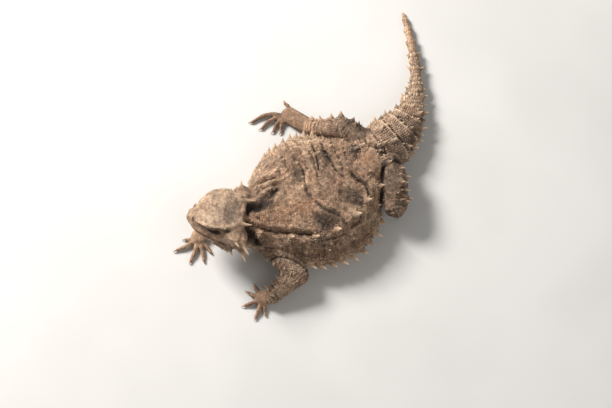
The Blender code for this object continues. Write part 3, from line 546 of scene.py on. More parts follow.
def digit_line(centre, palm, heading, length, bow):
    """Centres and radii along a digit, with its knuckles, and the direction of its claw."""
    turn = math.radians(heading)
    forward = np.array((math.cos(turn), math.sin(turn), 0))
    side = np.array((-forward[1], forward[0], 0))
    flesh = length - CLAW_LENGTH * 0.75
    heights, radii = (1.35, 1.25, 0.72), (1.08, 0.95, 0.74)
    knuckles = (1.0, 0.93, 1.05, 0.93, 1.06, 0.95, 1.0)
    stations = []
    for i, knuckle in enumerate(knuckles):
        share = i / (len(knuckles) - 1)
        out = palm * 0.45 + (flesh - palm * 0.45) * share
        place = np.array(centre) + forward * out + side * bow * math.sin(math.pi * share) * length / 12
        place[2] = np.interp(share, (0, 0.5, 1), heights)
        stations.append((place, DIGIT_RADIUS * np.interp(share, (0, 0.5, 1), radii) * knuckle))
    return stations, forward


# Meshes

def new_object(name, mesh):
    piece = bpy.data.objects.new(name, mesh)
    bpy.context.scene.collection.objects.link(piece)
    return piece


def inside_box(points):
    """Points kept within the solids' own box, and just off the floor."""
    low, high = (np.array(corner) / MM for corner in CAD_BOX)
    return np.clip(points, low + BOX_CLEARANCE, high - BOX_CLEARANCE)


def triangle_mesh(name, points, triangles):
    """A smooth mesh in metres from points in millimetres."""
    mesh = bpy.data.meshes.new(name)
    mesh.vertices.add(len(points))
    mesh.vertices.foreach_set("co", (inside_box(points) * MM).astype(np.float32).ravel())
    mesh.loops.add(triangles.size)
    mesh.loops.foreach_set("vertex_index", triangles.astype(np.int32).ravel())
    mesh.polygons.add(len(triangles))
    mesh.polygons.foreach_set("loop_start", np.arange(0, triangles.size, 3, dtype=np.int32))
    mesh.update(calc_edges=True)
    mesh.shade_smooth()
    return mesh


def paint(mesh, name, values):
    """Stores four numbers for each vertex, for the mesh's material to read."""
    layer = mesh.color_attributes.new(name, "FLOAT_COLOR", "POINT")
    layer.data.foreach_set("color", values.astype(np.float32).ravel())


def grid_faces(rings, count, start):
    """Faces of a closed tube whose points are numbered ring by ring from start, as quads and two end caps."""
    i, j = np.meshgrid(np.arange(rings - 1), np.arange(count), indexing="ij")
    k = (j + 1) % count
    this, onward = i * count, (i + 1) * count
    quads = np.stack((this + j, this + k, onward + k, onward + j), -1).reshape(-1, 4)
    caps = [np.arange(count)[::-1], np.arange(count) + (rings - 1) * count]
    return (quads + start).tolist() + [(cap + start).tolist() for cap in caps]


def wall_triangles(levels, sides):
    """Triangles between rings of points that are numbered ring by ring, facing outwards."""
    found = []
    for level in range(levels - 1):
        for i in range(sides):
            a, b = level * sides + i, level * sides + (i + 1) % sides
            found += [(a, b + sides, b), (a, a + sides, b + sides)]
    return found


def cone_triangles(levels, sides):
    """A wall, a fan to the point that is numbered after the rings, and last the cap of the root."""
    last = (levels - 1) * sides
    fan = [(last + i, levels * sides, last + (i + 1) % sides) for i in range(sides)]
    return wall_triangles(levels, sides) + fan + [(0, i, i + 1) for i in range(1, sides - 1)]


def coordinates(mesh):
    points = np.empty(len(mesh.vertices) * 3, np.float32)
    mesh.vertices.foreach_get("co", points)
    return points.reshape(-1, 3).astype(float)


def normals(mesh):
    values = np.empty(len(mesh.vertices) * 3, np.float32)
    mesh.vertex_normals.foreach_get("vector", values)
    return values.reshape(-1, 3).astype(float)


def edges(mesh):
    values = np.empty(len(mesh.edges) * 2, np.int32)
    mesh.edges.foreach_get("vertices", values)
    return values.reshape(-1, 2)


def blur(values, pairs, times, share=0.6):
    """Averages values over neighbouring vertices; share may differ from vertex to vertex."""
    i, j = pairs.T
    count = len(values)
    near = np.maximum(np.bincount(pairs.ravel(), minlength=count), 1)[:, None]
    for _ in range(times):
        total = np.stack([np.bincount(i, v[j], count) + np.bincount(j, v[i], count) for v in values.T], -1)
        values = values + (total / near - values) * share
    return values


# The skin's first shape: closed tubes, joined by a voxel remesh

class Tube:
    """A closed tube of the first shape; along_skin and round_skin unwrap it, its scales point along lie."""

    def __init__(self, kind, rings, stations=None, lie_sign=1):
        self.kind, self.rings = kind, rings
        middles = rings.mean(axis=1)
        steps = np.linalg.norm(np.diff(middles, axis=0), axis=1)
        far = np.concatenate(((0,), np.cumsum(steps)))
        self.along_skin = np.broadcast_to(far[:, None], rings.shape[:2])
        gaps = np.linalg.norm(np.roll(rings, -1, axis=1) - rings, axis=2)
        self.round_skin = np.cumsum(gaps, axis=1) - gaps
        self.lie = unit(np.gradient(rings, axis=0)) * lie_sign
        self.round_way = unit(np.roll(rings, -1, axis=1) - np.roll(rings, 1, axis=1))
        values = np.zeros(len(rings)) if stations is None else stations
        self.stations = np.broadcast_to(values[:, None], rings.shape[:2])


def spine_tube():
    s = np.linspace(NAPE, TAIL_TIP, 640)
    angles = np.linspace(0, 2 * np.pi, 150, endpoint=False)
    rings = spine_point(s[:, None], angles[None], -SKIN_DEPTH)
    centre, left, tail, half_width = spine_frame(s)[:4]
    rings[-1] += tail[-1] * SKIN_DEPTH
    root = [rings[0] - tail[0] * out for out in (2.4, 1.6, 0.8)]
    tip = []
    for turn in np.radians((20, 40, 60, 78)):
        out = tail[-1] * half_width[-1] * math.sin(turn)
        tip.append(centre[-1] + out + (rings[-1] - centre[-1]) * math.cos(turn))
    stations = np.concatenate((np.full(3, s[0]), s, np.full(4, s[-1])))
    return Tube("spine", np.concatenate((root, rings, tip)), stations)


def limb_tubes(name):
    limb = LIMBS[name]
    tubes = []
    for part in ("upper", "lower"):
        rings = sweep(limb_stations(limb, part), 64, limb["flatness"], -SKIN_DEPTH, 22)
        tubes.append(Tube(part, rings))
    return tubes


def palm_tube(limb, centre, palm):
    wrist, bend = np.array(limb["joints"][2]), np.array(limb["joints"][1])
    centre = np.array(centre)
    heel = (wrist - unit(wrist - bend) * 0.5, limb["lower"][2] * 0.95)
    middle = (centre + (wrist - centre) * 0.45, palm * 0.94)
    return Tube("palm", sweep([heel, middle, (centre, palm * 0.92)], 48, 0.62, -SKIN_DEPTH * 0.7, 10))


def foot_tubes(name):
    limb_name, centre, palm, headings, lengths, bow = FEET[name]
    tubes = [palm_tube(LIMBS[limb_name], centre, palm)]
    for heading, length in zip(headings, lengths):
        stations = digit_line(centre, palm, heading, length, bow)[0]
        tubes.append(Tube("digit", sweep(stations, 24, DIGIT_FLATNESS, -SKIN_DEPTH * 0.45, 4)))
    return tubes


def head_tubes():
    tubes = [Tube("head", head_rings(-SKIN_DEPTH), lie_sign=-1)]
    for side in (1, -1):
        x, y, z = TEMPLE_PLACE
        radii = np.array(TEMPLE_RADII)[[2, 1, 0]] - SKIN_DEPTH
        rings = ball_rings((0, 0, 0), radii)[..., (2, 1, 0)] + (x, y * side, z)
        tubes.append(Tube("temple", head_world(rings), lie_sign=-1))
        x, y, z = EYE_PLACE
        rings = ball_rings((x, y * side, z), (EYE_RADIUS + LID_THICKNESS,) * 3)
        tubes.append(Tube("lid", head_world(rings), lie_sign=-1))
    return tubes


def joined(tubes):
    """One closed mesh, in millimetres, round all the tubes."""
    points, faces, start = [], [], 0
    for tube in tubes:
        rings, count = tube.rings.shape[:2]
        points.append(tube.rings.reshape(-1, 3))
        faces += grid_faces(rings, count, start)
        start += rings * count
    mesh = bpy.data.meshes.new("skin")
    mesh.from_pydata(np.concatenate(points).tolist(), [], faces)
    piece = new_object("skin", mesh)
    remesh = piece.modifiers.new("join", "REMESH")
    remesh.mode = "VOXEL"
    remesh.voxel_size = VOXEL
    remesh.adaptivity = 0
    apply_modifiers(piece)
    return piece


def apply_modifiers(piece):
    bpy.context.view_layer.update()
    graph = bpy.context.evaluated_depsgraph_get()
    result = bpy.data.meshes.new_from_object(piece.evaluated_get(graph))
    piece.modifiers.clear()
    old = piece.data
    piece.data = result
    bpy.data.meshes.remove(old)


def cutter(place, radii, almond=False):
    """An ellipsoid in the head's frame; an almond one narrows to a point at its front and rear."""
    rings = ball_rings((0, 0, 0), radii, count=20)
    if almond:
        rings[..., 2] *= np.sqrt(np.clip(1 - (rings[..., 0] / radii[0]) ** 2, 0.02, 1))
    mesh = bpy.data.meshes.new("cutter")
    rings = head_world(rings + place)
    mesh.from_pydata(rings.reshape(-1, 3).tolist(), [], grid_faces(*rings.shape[:2], 0))
    return new_object("cutter", mesh)


def cut(piece, cutters):
    """Takes the cutters out of the piece, and removes them."""
    group = bpy.data.collections.new("cutters")
    bpy.context.scene.collection.children.link(group)
    for other in cutters:
        group.objects.link(other)
    modifier = piece.modifiers.new("cut", "BOOLEAN")
    modifier.operation = "DIFFERENCE"
    modifier.operand_type = "COLLECTION"
    modifier.collection = group
    modifier.solver = "MANIFOLD"
    apply_modifiers(piece)
    for other in cutters:
        bpy.data.objects.remove(other)
    bpy.data.collections.remove(group)


def face_openings():
    """Cutters for the slots between the lids, the nostrils and the ears."""
    cutters = []
    for side in (1, -1):
        x, y, z = SLOT_PLACE
        cutters.append(cutter((x, (y + 2.3) * side, z), (LID_SLOT[0], 2.4, LID_SLOT[1]), almond=True))
        x, y, z = NOSTRIL_PLACE
        cutters.append(cutter((x, y * side, z), (NOSTRIL_RADIUS, NOSTRIL_RADIUS, 0.9)))
        x, y, z = EAR_PLACE
        cutters.append(cutter((x, y * side, z), (EAR_RADIUS, 0.8, 0.75)))
    return cutters


class Samples:
    """Places all over the first shape, with what is known there, for the skin to look up."""

    def __init__(self, tubes):
        def gathered(read):
            return np.concatenate([read(tube) for tube in tubes])

        self.places = gathered(lambda tube: tube.rings.reshape(-1, 3))
        self.lie = gathered(lambda tube: tube.lie.reshape(-1, 3))
        self.along_way = gathered(lambda tube: unit(np.gradient(tube.rings, axis=0)).reshape(-1, 3))
        self.round_way = gathered(lambda tube: tube.round_way.reshape(-1, 3))
        self.station = gathered(lambda tube: tube.stations.ravel())
        self.along_skin = gathered(lambda tube: tube.along_skin.ravel())
        self.round_skin = gathered(lambda tube: tube.round_skin.ravel())
        self.tube = np.repeat(np.arange(len(tubes)), [tube.stations.size for tube in tubes])
        self.girths = np.array([tube.round_skin.max() + 2 for tube in tubes])
        self.tree = tree_of(self.places)

    def unwrap(self, points):
        """Where points lie on an unwrap of the first shape, in millimetres, each tube on its own shelf."""
        found = nearest(self.tree, points)
        away, tube = points - self.places[found], self.tube[found]
        used = np.unique(tube)
        shelves = np.zeros(len(self.girths))
        shelves[used] = np.cumsum(self.girths[used]) - self.girths[used]
        far = self.along_skin[found] + dot(away, self.along_way[found])
        wide = self.round_skin[found] + dot(away, self.round_way[found])
        return np.stack((far, wide + shelves[tube]), -1)


def tree_of(points):
    """A search tree over points."""
    tree = KDTree(len(points))
    for i, point in enumerate(points.tolist()):
        tree.insert(point, i)
    tree.balance()
    return tree


def nearest(tree, points):
    """The number of the tree's point nearest to each point."""
    return np.fromiter((tree.find(p)[1] for p in points.tolist()), np.int64, len(points))


# What is known at each point of the skin

KINDS = ("spine", "head", "temple", "lid", "upper", "lower", "palm", "digit")


class Skin:
    """The skin's vertices, in millimetres, with the places on the body that they belong to."""

    def __init__(self, piece, tubes):
        self.piece, self.samples = piece, Samples(tubes)
        self.points = coordinates(piece.data)
        self.pairs = edges(piece.data)
        found = nearest(self.samples.tree, self.points)
        self.tube = self.samples.tube[found]
        self.kind = np.array([KINDS.index(tube.kind) for tube in tubes])[self.tube]
        self.near = {name: blur((self.kind == i).astype(float)[:, None], self.pairs, 6)[:, 0]
                     for i, name in enumerate(KINDS)}
        self.station = self.samples.station[found]
        self.sweep_order = self.samples.along_skin[found]
        self.soften_joins()
        self.lie = unit(blur(self.samples.lie[found], self.pairs, 25))
        self.place_on_spine()
        self.measure()

    def measure(self):
        """Gives the mesh its vertices, and works out their normals and their places in the head's frame."""
        self.piece.data.vertices.foreach_set("co", self.points.astype(np.float32).ravel())
        self.piece.data.update()
        self.normals = normals(self.piece.data)
        self.head = head_local(self.points)

    def is_kind(self, *names):
        return np.isin(self.kind, [KINDS.index(name) for name in names])

    def soften_joins(self):
        """Rounds the creases where limbs, head and toes grow from the body."""
        i, j = self.pairs.T
        crosses = self.tube[i] != self.tube[j]
        edge = np.zeros(len(self.points))
        edge[i[crosses]] = edge[j[crosses]] = 1
        wide = np.clip(blur(edge[:, None], self.pairs, 16) * 7, 0, 1)
        narrow = np.clip(blur(edge[:, None], self.pairs, 4) * 3, 0, 1)
        small = (self.near["digit"] + self.near["palm"] + self.near["head"] * 0.7)[:, None]
        share = 0.55 * np.where(small > 0.3, narrow * 0.8, wide)
        self.points = blur(self.points, self.pairs, 45, share)
        self.points = blur(self.points, self.pairs, 2, 0.5)

    def place_on_spine(self):
        """The station and angle of each vertex of the trunk, neck and tail."""
        step = 0.02
        centre, left, tail = spine_frame(self.station)[:3]
        speed = np.linalg.norm(spine_frame(self.station + step)[0] - centre, axis=1) / step
        missing = dot(self.points - centre, tail) / np.maximum(speed, 1)
        self.station = self.station + np.clip(missing, -0.1, 0.1)
        centre, left, tail, half_width, above, below, lean = spine_frame(self.station)
        away = self.points - centre
        up = away[:, 2]
        upper = up > 0
        exponent = np.where(upper, ROUND_TOP, ROUND_BELLY) / 2
        n = np.clip(np.abs(up) / np.where(upper, above, below), 0, 1) ** exponent
        out = dot(away, left) - np.where(upper, lean * n * n, 0)
        c = np.clip(np.abs(out) / half_width, 0, 1) ** exponent
        self.angle = np.degrees(np.arctan2(np.copysign(n, up), np.copysign(c, out)))
        self.angle = np.where(self.angle < -90, self.angle + 360, self.angle)

    def beside(self, places, margin=8.0):
        """Distance of every vertex to a line, and the share along it; far vertices aren't measured."""
        places = np.asarray(places)
        low, high = places.min(0) - margin, places.max(0) + margin
        close = np.all((self.points > low) & (self.points < high), axis=1)
        distance, share = np.full(len(self.points), 1e3), np.zeros(len(self.points))
        distance[close], share[close] = distance_to(self.points[close], places)
        return distance, share


def taper(share, rise=0.18):
    """Fades a fold in at its start and out at its end."""
    return step_between(0, rise, share + 0.04) * step_between(0, rise, 1.04 - share)


def neck_wedge(skin):
    """The pale wedge of finely wrinkled skin behind the head, and the phase of its wrinkles."""
    s = skin.station
    phase = s * 2 * np.pi / NECK_WRINKLE + noise(skin.points, 3, 7) * 1.2
    return bell(s - 2.0, 1.3) * within(skin.angle, 58, 68, 98, 112), phase


def trunk_relief(skin):
    """Folds, creases, the flange that carries the fringe, and the slack of the skin."""
    points, s, angle = skin.points, skin.station, skin.angle
    height = np.zeros(len(points))
    wander = 1 + 0.3 * noise(points, 2.2, 3) + 0.2 * noise(points, 1.0, 6)
    for half_width, size, marks in FOLDS.values():
        distance, share = skin.beside(spine_line(marks))
        height += size * bell(distance, half_width * wander) * taper(share)
    on_trunk = within(s, 0.2, 1.6, 9.8, 10.8)
    for fringe_angle in (5, 175):
        height += 0.6 * bell(angle - fringe_angle, 6) * on_trunk
    upper = within(angle, -5, 15, 165, 185)
    right = step_between(98, 112, angle)
    lumps = noise(points, 3.4, 1) * 0.24 + noise(points, 1.6, 2) * (0.17 + 0.13 * right)
    height += lumps * on_trunk * (0.35 + 0.65 * upper)
    long_way = np.stack((s * 7.5 + 0.6 * noise(points, 3, 18), angle * 0.05, 0 * s), -1)
    folds = bell(noise(long_way, 2.7, 5), 0.2) * right * (1 - step_between(162, 170, angle))
    pleats = bell(noise(long_way * (1, 0.55, 1), 1.5, 15), 0.24) * bell(angle - 34, 20)
    height -= (0.38 * folds * step_between(3.2, 4.2, s) + 0.24 * pleats) * on_trunk
    height -= 0.14 * bell(noise(points, 2.1, 17), 0.14) * on_trunk * upper
    crosswise, lengthwise = noise(long_way * (1, 0.35, 1), 1.1, 25), noise(long_way * (0.3, 1, 1), 1.0, 26)
    height += 0.25 * (crosswise * right + lengthwise * (1 - right)) * on_trunk * upper
    wedge, phase = neck_wedge(skin)
    height += 0.15 * np.sin(phase) * wedge
    return height * skin.near["spine"]


def above_edges(degrees):
    """1 on the tail's top, 0 under it, where its whorls run straight across."""
    return step_between(-30, 20, np.minimum(degrees, 180 - degrees))


def ring_places(s, angle):
    """The whorl that a place of the tail lies in, and how far along that whorl it is, 0 to 1."""
    slant = np.interp(s, *zip(*RING_SLANT))
    straight = s - slant * np.cos(np.radians(angle)) * above_edges(angle)
    number = np.clip(np.searchsorted(TAIL_RINGS, straight) - 1, 0, len(TAIL_RINGS) - 2)
    low, high = np.array(TAIL_RINGS)[number], np.array(TAIL_RINGS)[number + 1]
    return number, np.clip((straight - low) / (high - low), 0, 1)


def tail_relief(skin):
    """Whorls of the tail: each ends in a raised edge, which drops to the next one."""
    share = ring_places(skin.station, skin.angle)[1]
    on_tail = step_between(9.5, 10.4, skin.station) * skin.near["spine"] * step_between(-60, -10, skin.angle)
    size = np.interp(skin.station, (10, 12, 14, 16, 19, 21), (0.75, 0.98, 0.72, 0.4, 0.15, 0.05))
    wide = 0.6 + 0.4 * step_between(-10, 30, np.minimum(skin.angle, 180 - skin.angle))
    edge = step_between(0.3, 0.93, share) - step_between(0.95, 1.0, share)
    lumps = noise(skin.points, 2.4, 1) * 0.2 + noise(skin.points, 1.3, 2) * 0.1
    return ((edge - 0.35) * size * wide + lumps) * on_tail


def limb_gap_depth_and_shadow(skin):
    """The gaps seen from above between a limb and the body, 1 in the middle of the deepest; the skin sinks
    there and the same value paints shadow in them.
    """
    high = step_between(5, 8, skin.points[:, 2])
    depth = np.zeros(len(skin.points))
    for half_width, share, line in LIMB_GAPS.values():
        distance = distance_to(skin.points * (1, 1, 0), line)[0]
        depth = np.maximum(depth, share * bell(distance, half_width) * high)
    return depth


def limb_relief(skin):
    """Wrinkles at elbow or knee and at wrist or ankle, and muscle under the skin."""
    on_limb = skin.near["upper"] + skin.near["lower"]
    height = (noise(skin.points, 3.4, 8) * 0.32 + noise(skin.points, 1.7, 28) * 0.2) * on_limb
    broken = 0.35 + 0.65 * step_between(-0.5, 0.5, noise(skin.points, 3.0, 19))
    sway = 0.7 * noise(skin.points, 2.6, 9)
    for limb in LIMBS.values():
        for joint, reach, size in ((1, 4.6, 0.26), (2, 5.6, 0.4)):
            place, before = np.array(limb["joints"][joint]), np.array(limb["joints"][joint - 1])
            away = skin.points - place
            wave = np.sin((dot(away, unit(place - before)) + sway) * 2 * np.pi / LIMB_WRINKLE)
            height += size * wave * broken * bell(np.linalg.norm(away, axis=1), reach) * on_limb
    return height


def mirrored(line, side):
    return [(x, y * side, z) for x, y, z in line]


def from_slot(points, side, wider=0.0, taller=0.0):
    """How far points of the head lie from the middle of a lid slot: in reaches of it, and outwards."""
    away = points - np.array(SLOT_PLACE) * (1, side, 1)
    reach = np.hypot(away[:, 0] / (LID_SLOT[0] + wider), away[:, 2] / (LID_SLOT[1] + taller))
    return reach, away[:, 1] * side


def from_hole(points, place, side):
    """Distance of points of the head from a nostril or an ear."""
    return np.linalg.norm(points - np.array(place) * (1, side, 1), axis=1)


def lip_line(side):
    """The line between the lips, from the corner of the mouth to the tip of the snout."""
    line = [(x, (head_value("lip_out", x) - 0.2) * side, head_value("lip_height", x))
            for x in np.linspace(4.2, 20, 14)]
    return line + [(SNOUT_TIP - 0.2, 0.0, line[-1][2])]


def face_relief(points, side):
    """Brow ridge, temple rim, lids, mouth line and the rims of nostril and ear, on one side."""
    distance, share = distance_to(points, mirrored(BROW_RIDGE, side))
    rise = 0.95 * bell(distance, 0.52) * step_between(-0.04, 0.2, share)
    under_brow = [(x, y + 1.5, z - 1.5) for x, y, z in BROW_RIDGE]
    distance, share = distance_to(points, mirrored(under_brow, side))
    rise -= 0.45 * bell(distance, 0.9) * taper(share, 0.3)
    distance, share = distance_to(points, mirrored(TEMPLE_RIM, side))
    rise += 0.55 * bell(distance, 0.8) * taper(share, 0.25)
    distance, share = distance_to(points, lip_line(side), 90)
    rise -= 0.5 * bell(distance, 0.26) * step_between(0, 0.06, share)
    rise += 0.14 * bell(distance - 0.75, 0.35)
    slot, outwards = from_slot(points, side)
    rise += (0.16 * bell(slot - 1.35, 0.3) - 0.22 * bell(slot - 2.3, 0.45)) * step_between(0.5, 1.5, outwards)
    for place, radius in ((NOSTRIL_PLACE, NOSTRIL_RADIUS), (EAR_PLACE, EAR_RADIUS)):
        rise += 0.12 * bell(from_hole(points, place, side) - radius - 0.3, 0.3)
    return rise


def head_relief(skin):
    """The face on both sides, the step behind the crown, the hollow of the forehead and uneven plates."""
    on_head = np.clip(skin.near["head"] + skin.near["temple"] + skin.near["lid"], 0, 1)
    close = on_head > 0.02
    points = skin.head[close]
    rise = face_relief(points, 1) + face_relief(points, -1)
    x, y, z = points.T
    wavy = noise(points, 2.0, 23) * 0.5
    top = step_between(2.0, 3.6, z)
    band = within(x + wavy, 1.0, 2.2, 5.2, 6.4) * (1 - step_between(4.4, 6.2, np.abs(y) + wavy))
    rise -= 0.35 * top * band
    rise -= 0.4 * top * bell(y, 3.6) * bell(x - 11, 4.5)
    rise += 0.3 * top * bell(np.abs(y) - 3.0, 1.3) * bell(x - 14.5, 2.5)
    rise += noise(points, 2.4, 12) * 0.2 + noise(points, 1.2, 13) * 0.12
    height = np.zeros(len(skin.head))
    height[close] = rise
    return height * on_head


def mound_relief(skin, mounds):
    """Skin drawn up round the roots of spines and horns; each mound is a place, a radius and a height."""
    tree = tree_of(skin.points)
    height = np.zeros(len(skin.points))
    for x, y, z, radius, rise in mounds.tolist():
        for place, i, distance in tree.find_range((x, y, z), radius * 2.2):
            height[i] = max(height[i], rise * math.exp(-((distance / radius) ** 2)))
    return height


def shape_skin(skin, mounds):
    """Moves the vertices by all the relief, under a soft ceiling and off the floor, and measures again."""
    height = trunk_relief(skin) + tail_relief(skin) + limb_relief(skin) + head_relief(skin)
    height += mound_relief(skin, mounds) - GAP_DEPTH * limb_gap_depth_and_shadow(skin)
    skin.points += skin.normals * height[:, None]
    skin.points = blur(skin.points, skin.pairs, 1, 0.35)
    ceiling = CAD_BOX[1][2] / MM - COAT_HEIGHT
    over = np.maximum(skin.points[:, 2] - (ceiling - 1), 0)
    skin.points[:, 2] += 1 - np.exp(-over) - over
    skin.points[:, 2] = np.maximum(skin.points[:, 2], FLOOR_CLEARANCE)
    skin.measure()


# Markings, with painted shade and painted highlight, which the skin, the scales and the spines share

def blotted(skin, marks, softness=0.35, ragged=1.0):
    """How far each vertex lies inside marks laid out on the trunk, which narrow towards their ends."""
    edge = sum(share * noise(skin.points, size, seed) for size, seed, share in BLOT_EDGE)
    amount = np.zeros(len(skin.points))
    for half_width, line in marks.values():
        distance, share = skin.beside(spine_line(line), half_width + 5)
        width = half_width * (0.45 + 0.55 * np.sin(np.pi * share)) * (1 + edge * ragged)
        amount = np.maximum(amount, 1 - step_between(-softness, softness, distance - width))
    return amount * np.clip(skin.near["spine"] * 1.6, 0, 1)


def cavities(skin):
    """How far each vertex lies below the skin around it, averaged over about a millimetre."""
    around = blur(skin.points, skin.pairs, 30)
    return dot(around - skin.points, skin.normals)


def trunk_areas(skin, small, middle):
    """Areas of the trunk and tail, from 0 to 1 at each vertex."""
    s, angle, spine = skin.station, skin.angle, skin.near["spine"]
    share = ring_places(s, angle)[1]
    tail = within(s, 9.8, 10.6, 17.5, 19.5) * spine
    tail_end = step_between(15.6, 19.5, s) * spine
    left_flank = within(angle, -10, 15, 44, 62) * within(s, 1.2, 2.4, 9.5, 10.8) * spine
    fringe = np.maximum(bell(angle - 5, 7), bell(angle - 175, 9)) * spine * (1 - step_between(10, 12, s))
    return {
        "spine": spine,
        "tail": tail,
        "tail_end": tail_end,
        "tail_top": step_between(9.8, 11, s) * (1 - tail_end) * spine,
        # Painted shadow at the start of each tail whorl, below the raised edge of the one before, and painted
        # highlight on that edge at a whorl's end.
        "whorl_start_shadow": (1 - step_between(0.02, 0.24, share)) * tail,
        "whorl_edge_highlight": step_between(0.8, 0.95, share) * tail,
        "left_flank": left_flank,
        "stains": step_between(0.25, 0.75, small) * step_between(0.0, 0.6, middle) * spine * (1 - left_flank),
        "fringe": fringe,
        "wedge": neck_wedge(skin)[0] * spine,
        "below": step_between(0.35, 0.8, -skin.normals[:, 2]),
    }


def head_areas(skin, small, middle):
    """Areas of the head, from 0 to 1 at each vertex."""
    x, y, z = skin.head.T
    head = np.clip(skin.near["head"] + skin.near["temple"] + skin.near["lid"], 0, 1)
    brows = [skin.beside(head_world(mirrored(BROW_RIDGE, side)))[0] for side in (1, -1)]
    ragged = x + 0.9 * small + 0.8 * middle
    band = within(ragged, 0.6, 2.4, 4.8, 7.0) * (1 - step_between(4.8, 7.6, np.abs(y)))
    return {
        "head": head,
        "crown": step_between(2.5, 4.2, z) * step_between(5.4, 6.8, x) * head,
        "snout": step_between(11.0, 17.0, x) * head,
        "temple": bell(np.hypot(x - 2.4, np.abs(y) - 7.4), 2.6) * step_between(1.5, 3.0, z) * head,
        "ridge": bell(np.minimum(*brows), 0.7) * head,
        "band": band * step_between(2, 3.5, z) * head,
        "cheek": (step_between(1.5, -2.5, z) * 0.5 + 0.35 * bell(x - 3.5, 4)) * head,
    }


def limb_areas(skin):
    """Areas of limbs and feet, from 0 to 1 at each vertex."""
    x, y, z = skin.points.T
    limbs = np.clip(skin.near["upper"] + skin.near["lower"], 0, 1)
    feet = np.clip(skin.near["palm"] + skin.near["digit"], 0, 1)

    def around(place, reach):
        return bell(np.linalg.norm(skin.points - np.array(place), axis=1), reach)

    area = {name: around(*place) * limbs for name, place in PALE_PLACES.items()}
    stains = step_between(0.2, 0.55, noise(skin.points, 3.2, 35)) * (0.5 + 0.5 * step_between(0, 8, x))
    area.update({
        "limbs": limbs,
        "feet": feet,
        "other_limbs": limbs * (1 - area["right_shank"]),
        "hind_limbs": limbs * step_between(8, 14, x),
        "right_foot": feet * step_between(20, 30, y),
        "right_hand": around(FEET["right_hand"][1], 12) * feet,
        "left_hand": feet * (1 - step_between(-32, -28, y)),
        # Painted shadow in the gaps between limbs and body.
        "limb_gap_depth_and_shadow": limb_gap_depth_and_shadow(skin),
        "limb_stains": stains * limbs * (1 - bell(x - 1, 7)),
    })
    return area


def painted_face_shade(skin):
    """Painted shade inside and round nostrils, ears and lid slots, and under the brows."""
    dark = np.zeros(len(skin.head))
    holes = ((NOSTRIL_PLACE, NOSTRIL_RADIUS * 2.2, 1.0), (EAR_PLACE, EAR_RADIUS, 0.5))
    for side in (1, -1):
        for place, radius, depth in holes:
            inside = 1 - step_between(radius * 0.8, radius * 1.25, from_hole(skin.head, place, side))
            dark = np.maximum(dark, depth * inside)
        slot, outwards = from_slot(skin.head, side, 0.5, 0.2)
        dark = np.maximum(dark, 1.0 - step_between(0.9, 1.5, slot * (2 - step_between(0.5, 1.5, outwards))))
        under_brow = [(x, y + 1.4, z - 1.3) for x, y, z in BROW_RIDGE[2:6]]
        dark = np.maximum(dark, 0.5 * bell(skin.beside(head_world(mirrored(under_brow, side)))[0], 0.9))
    return dark


def paint_markings(skin):
    """Dark, pale, warm and grey at each vertex, from 0 to 1; dark and pale also carry painted shade and
    painted highlight.
    """
    noises = ((9, 31), (4, 32), (1.8, 33), (0.9, 36), (2.4, 37))
    broad, middle, small, freckles, plates = (noise(skin.points, size, seed) for size, seed in noises)
    area = {**trunk_areas(skin, small, middle), **head_areas(skin, small, middle), **limb_areas(skin)}
    spine, head, limbs, crown = (area[name] for name in ("spine", "head", "limbs", "crown"))
    dark, pale, warm, grey = (sum(share * area[name] for name, share in shares.items())
                              for shares in TINTS.values())

    # Blotches, and painted shadow in the nape's pits.
    blotches_and_pit_shadow = np.maximum(blotted(skin, BLOTCHES, 0.5) * (0.85 + 0.2 * small), blotted(skin, NAPE_PIT_SHADOW, 1.0, 0.3))
    dark += np.clip(blotches_and_pit_shadow + 0.7 * blotted(skin, SHADES, 1.8, 0.7), 0, 1)
    # Painted shade on the left flank, the side turned away from the key light.
    dark += 0.22 * area["left_flank"] * (0.6 + 0.4 * middle)
    dark += 0.25 * area["stains"] + 0.42 * area["limb_stains"]
    # Painted shade in the troughs of the neck's fine wrinkles.
    wrinkles = 0.5 - 0.5 * np.sin(neck_wedge(skin)[1])
    dark += 0.4 * wrinkles ** 2 * area["wedge"]
    dark += 0.32 * area["band"] * (0.75 + 0.6 * middle)
    # Painted shade in hollows of the skin, and painted highlight on its raised places.
    hollow = cavities(skin)
    dark += 0.72 * step_between(0.03, 0.24, hollow) * (1 - area["feet"])
    pale += 0.45 * step_between(0.05, 0.26, -hollow) * (spine + 0.5 * head + 0.4 * limbs)

    dots, gaps = step_between(0.2, 0.6, freckles), step_between(0.2, 0.6, -freckles)
    dark += 0.32 * dots * (spine * (1 - area["tail"]) + limbs)
    pale += 0.4 * gaps * (spine * (1 - 0.5 * area["tail"]) + limbs + 0.7 * head)
    dark += crown * (0.12 * step_between(0.1, 0.7, small + 0.5 * middle) + 0.24 * dots)
    pale += crown * 0.4 * step_between(0.0, 0.5, plates) + 0.5 * step_between(0.1, 0.6, broad)
    warm += 0.62 * blotted(skin, WARM, 2.2, 0.5) + 0.3 * step_between(-0.2, 0.7, middle) * (1 - 0.7 * head)
    grey += 0.45 * step_between(0.0, 0.7, -broad)

    dark = np.clip(dark, 0, 1) * (1 - 0.9 * area["below"] * spine) * (1 - 0.7 * area["right_shank"])
    # Painted shade in and round the face's holes and under the brows.
    dark += painted_face_shade(skin) * head
    return np.clip(np.stack((dark, pale, warm, grey), -1), 0, 1)


# Scales. A site is a place, the farthest that its scale reaches, the room it needs, and 1 at a whorl's end.

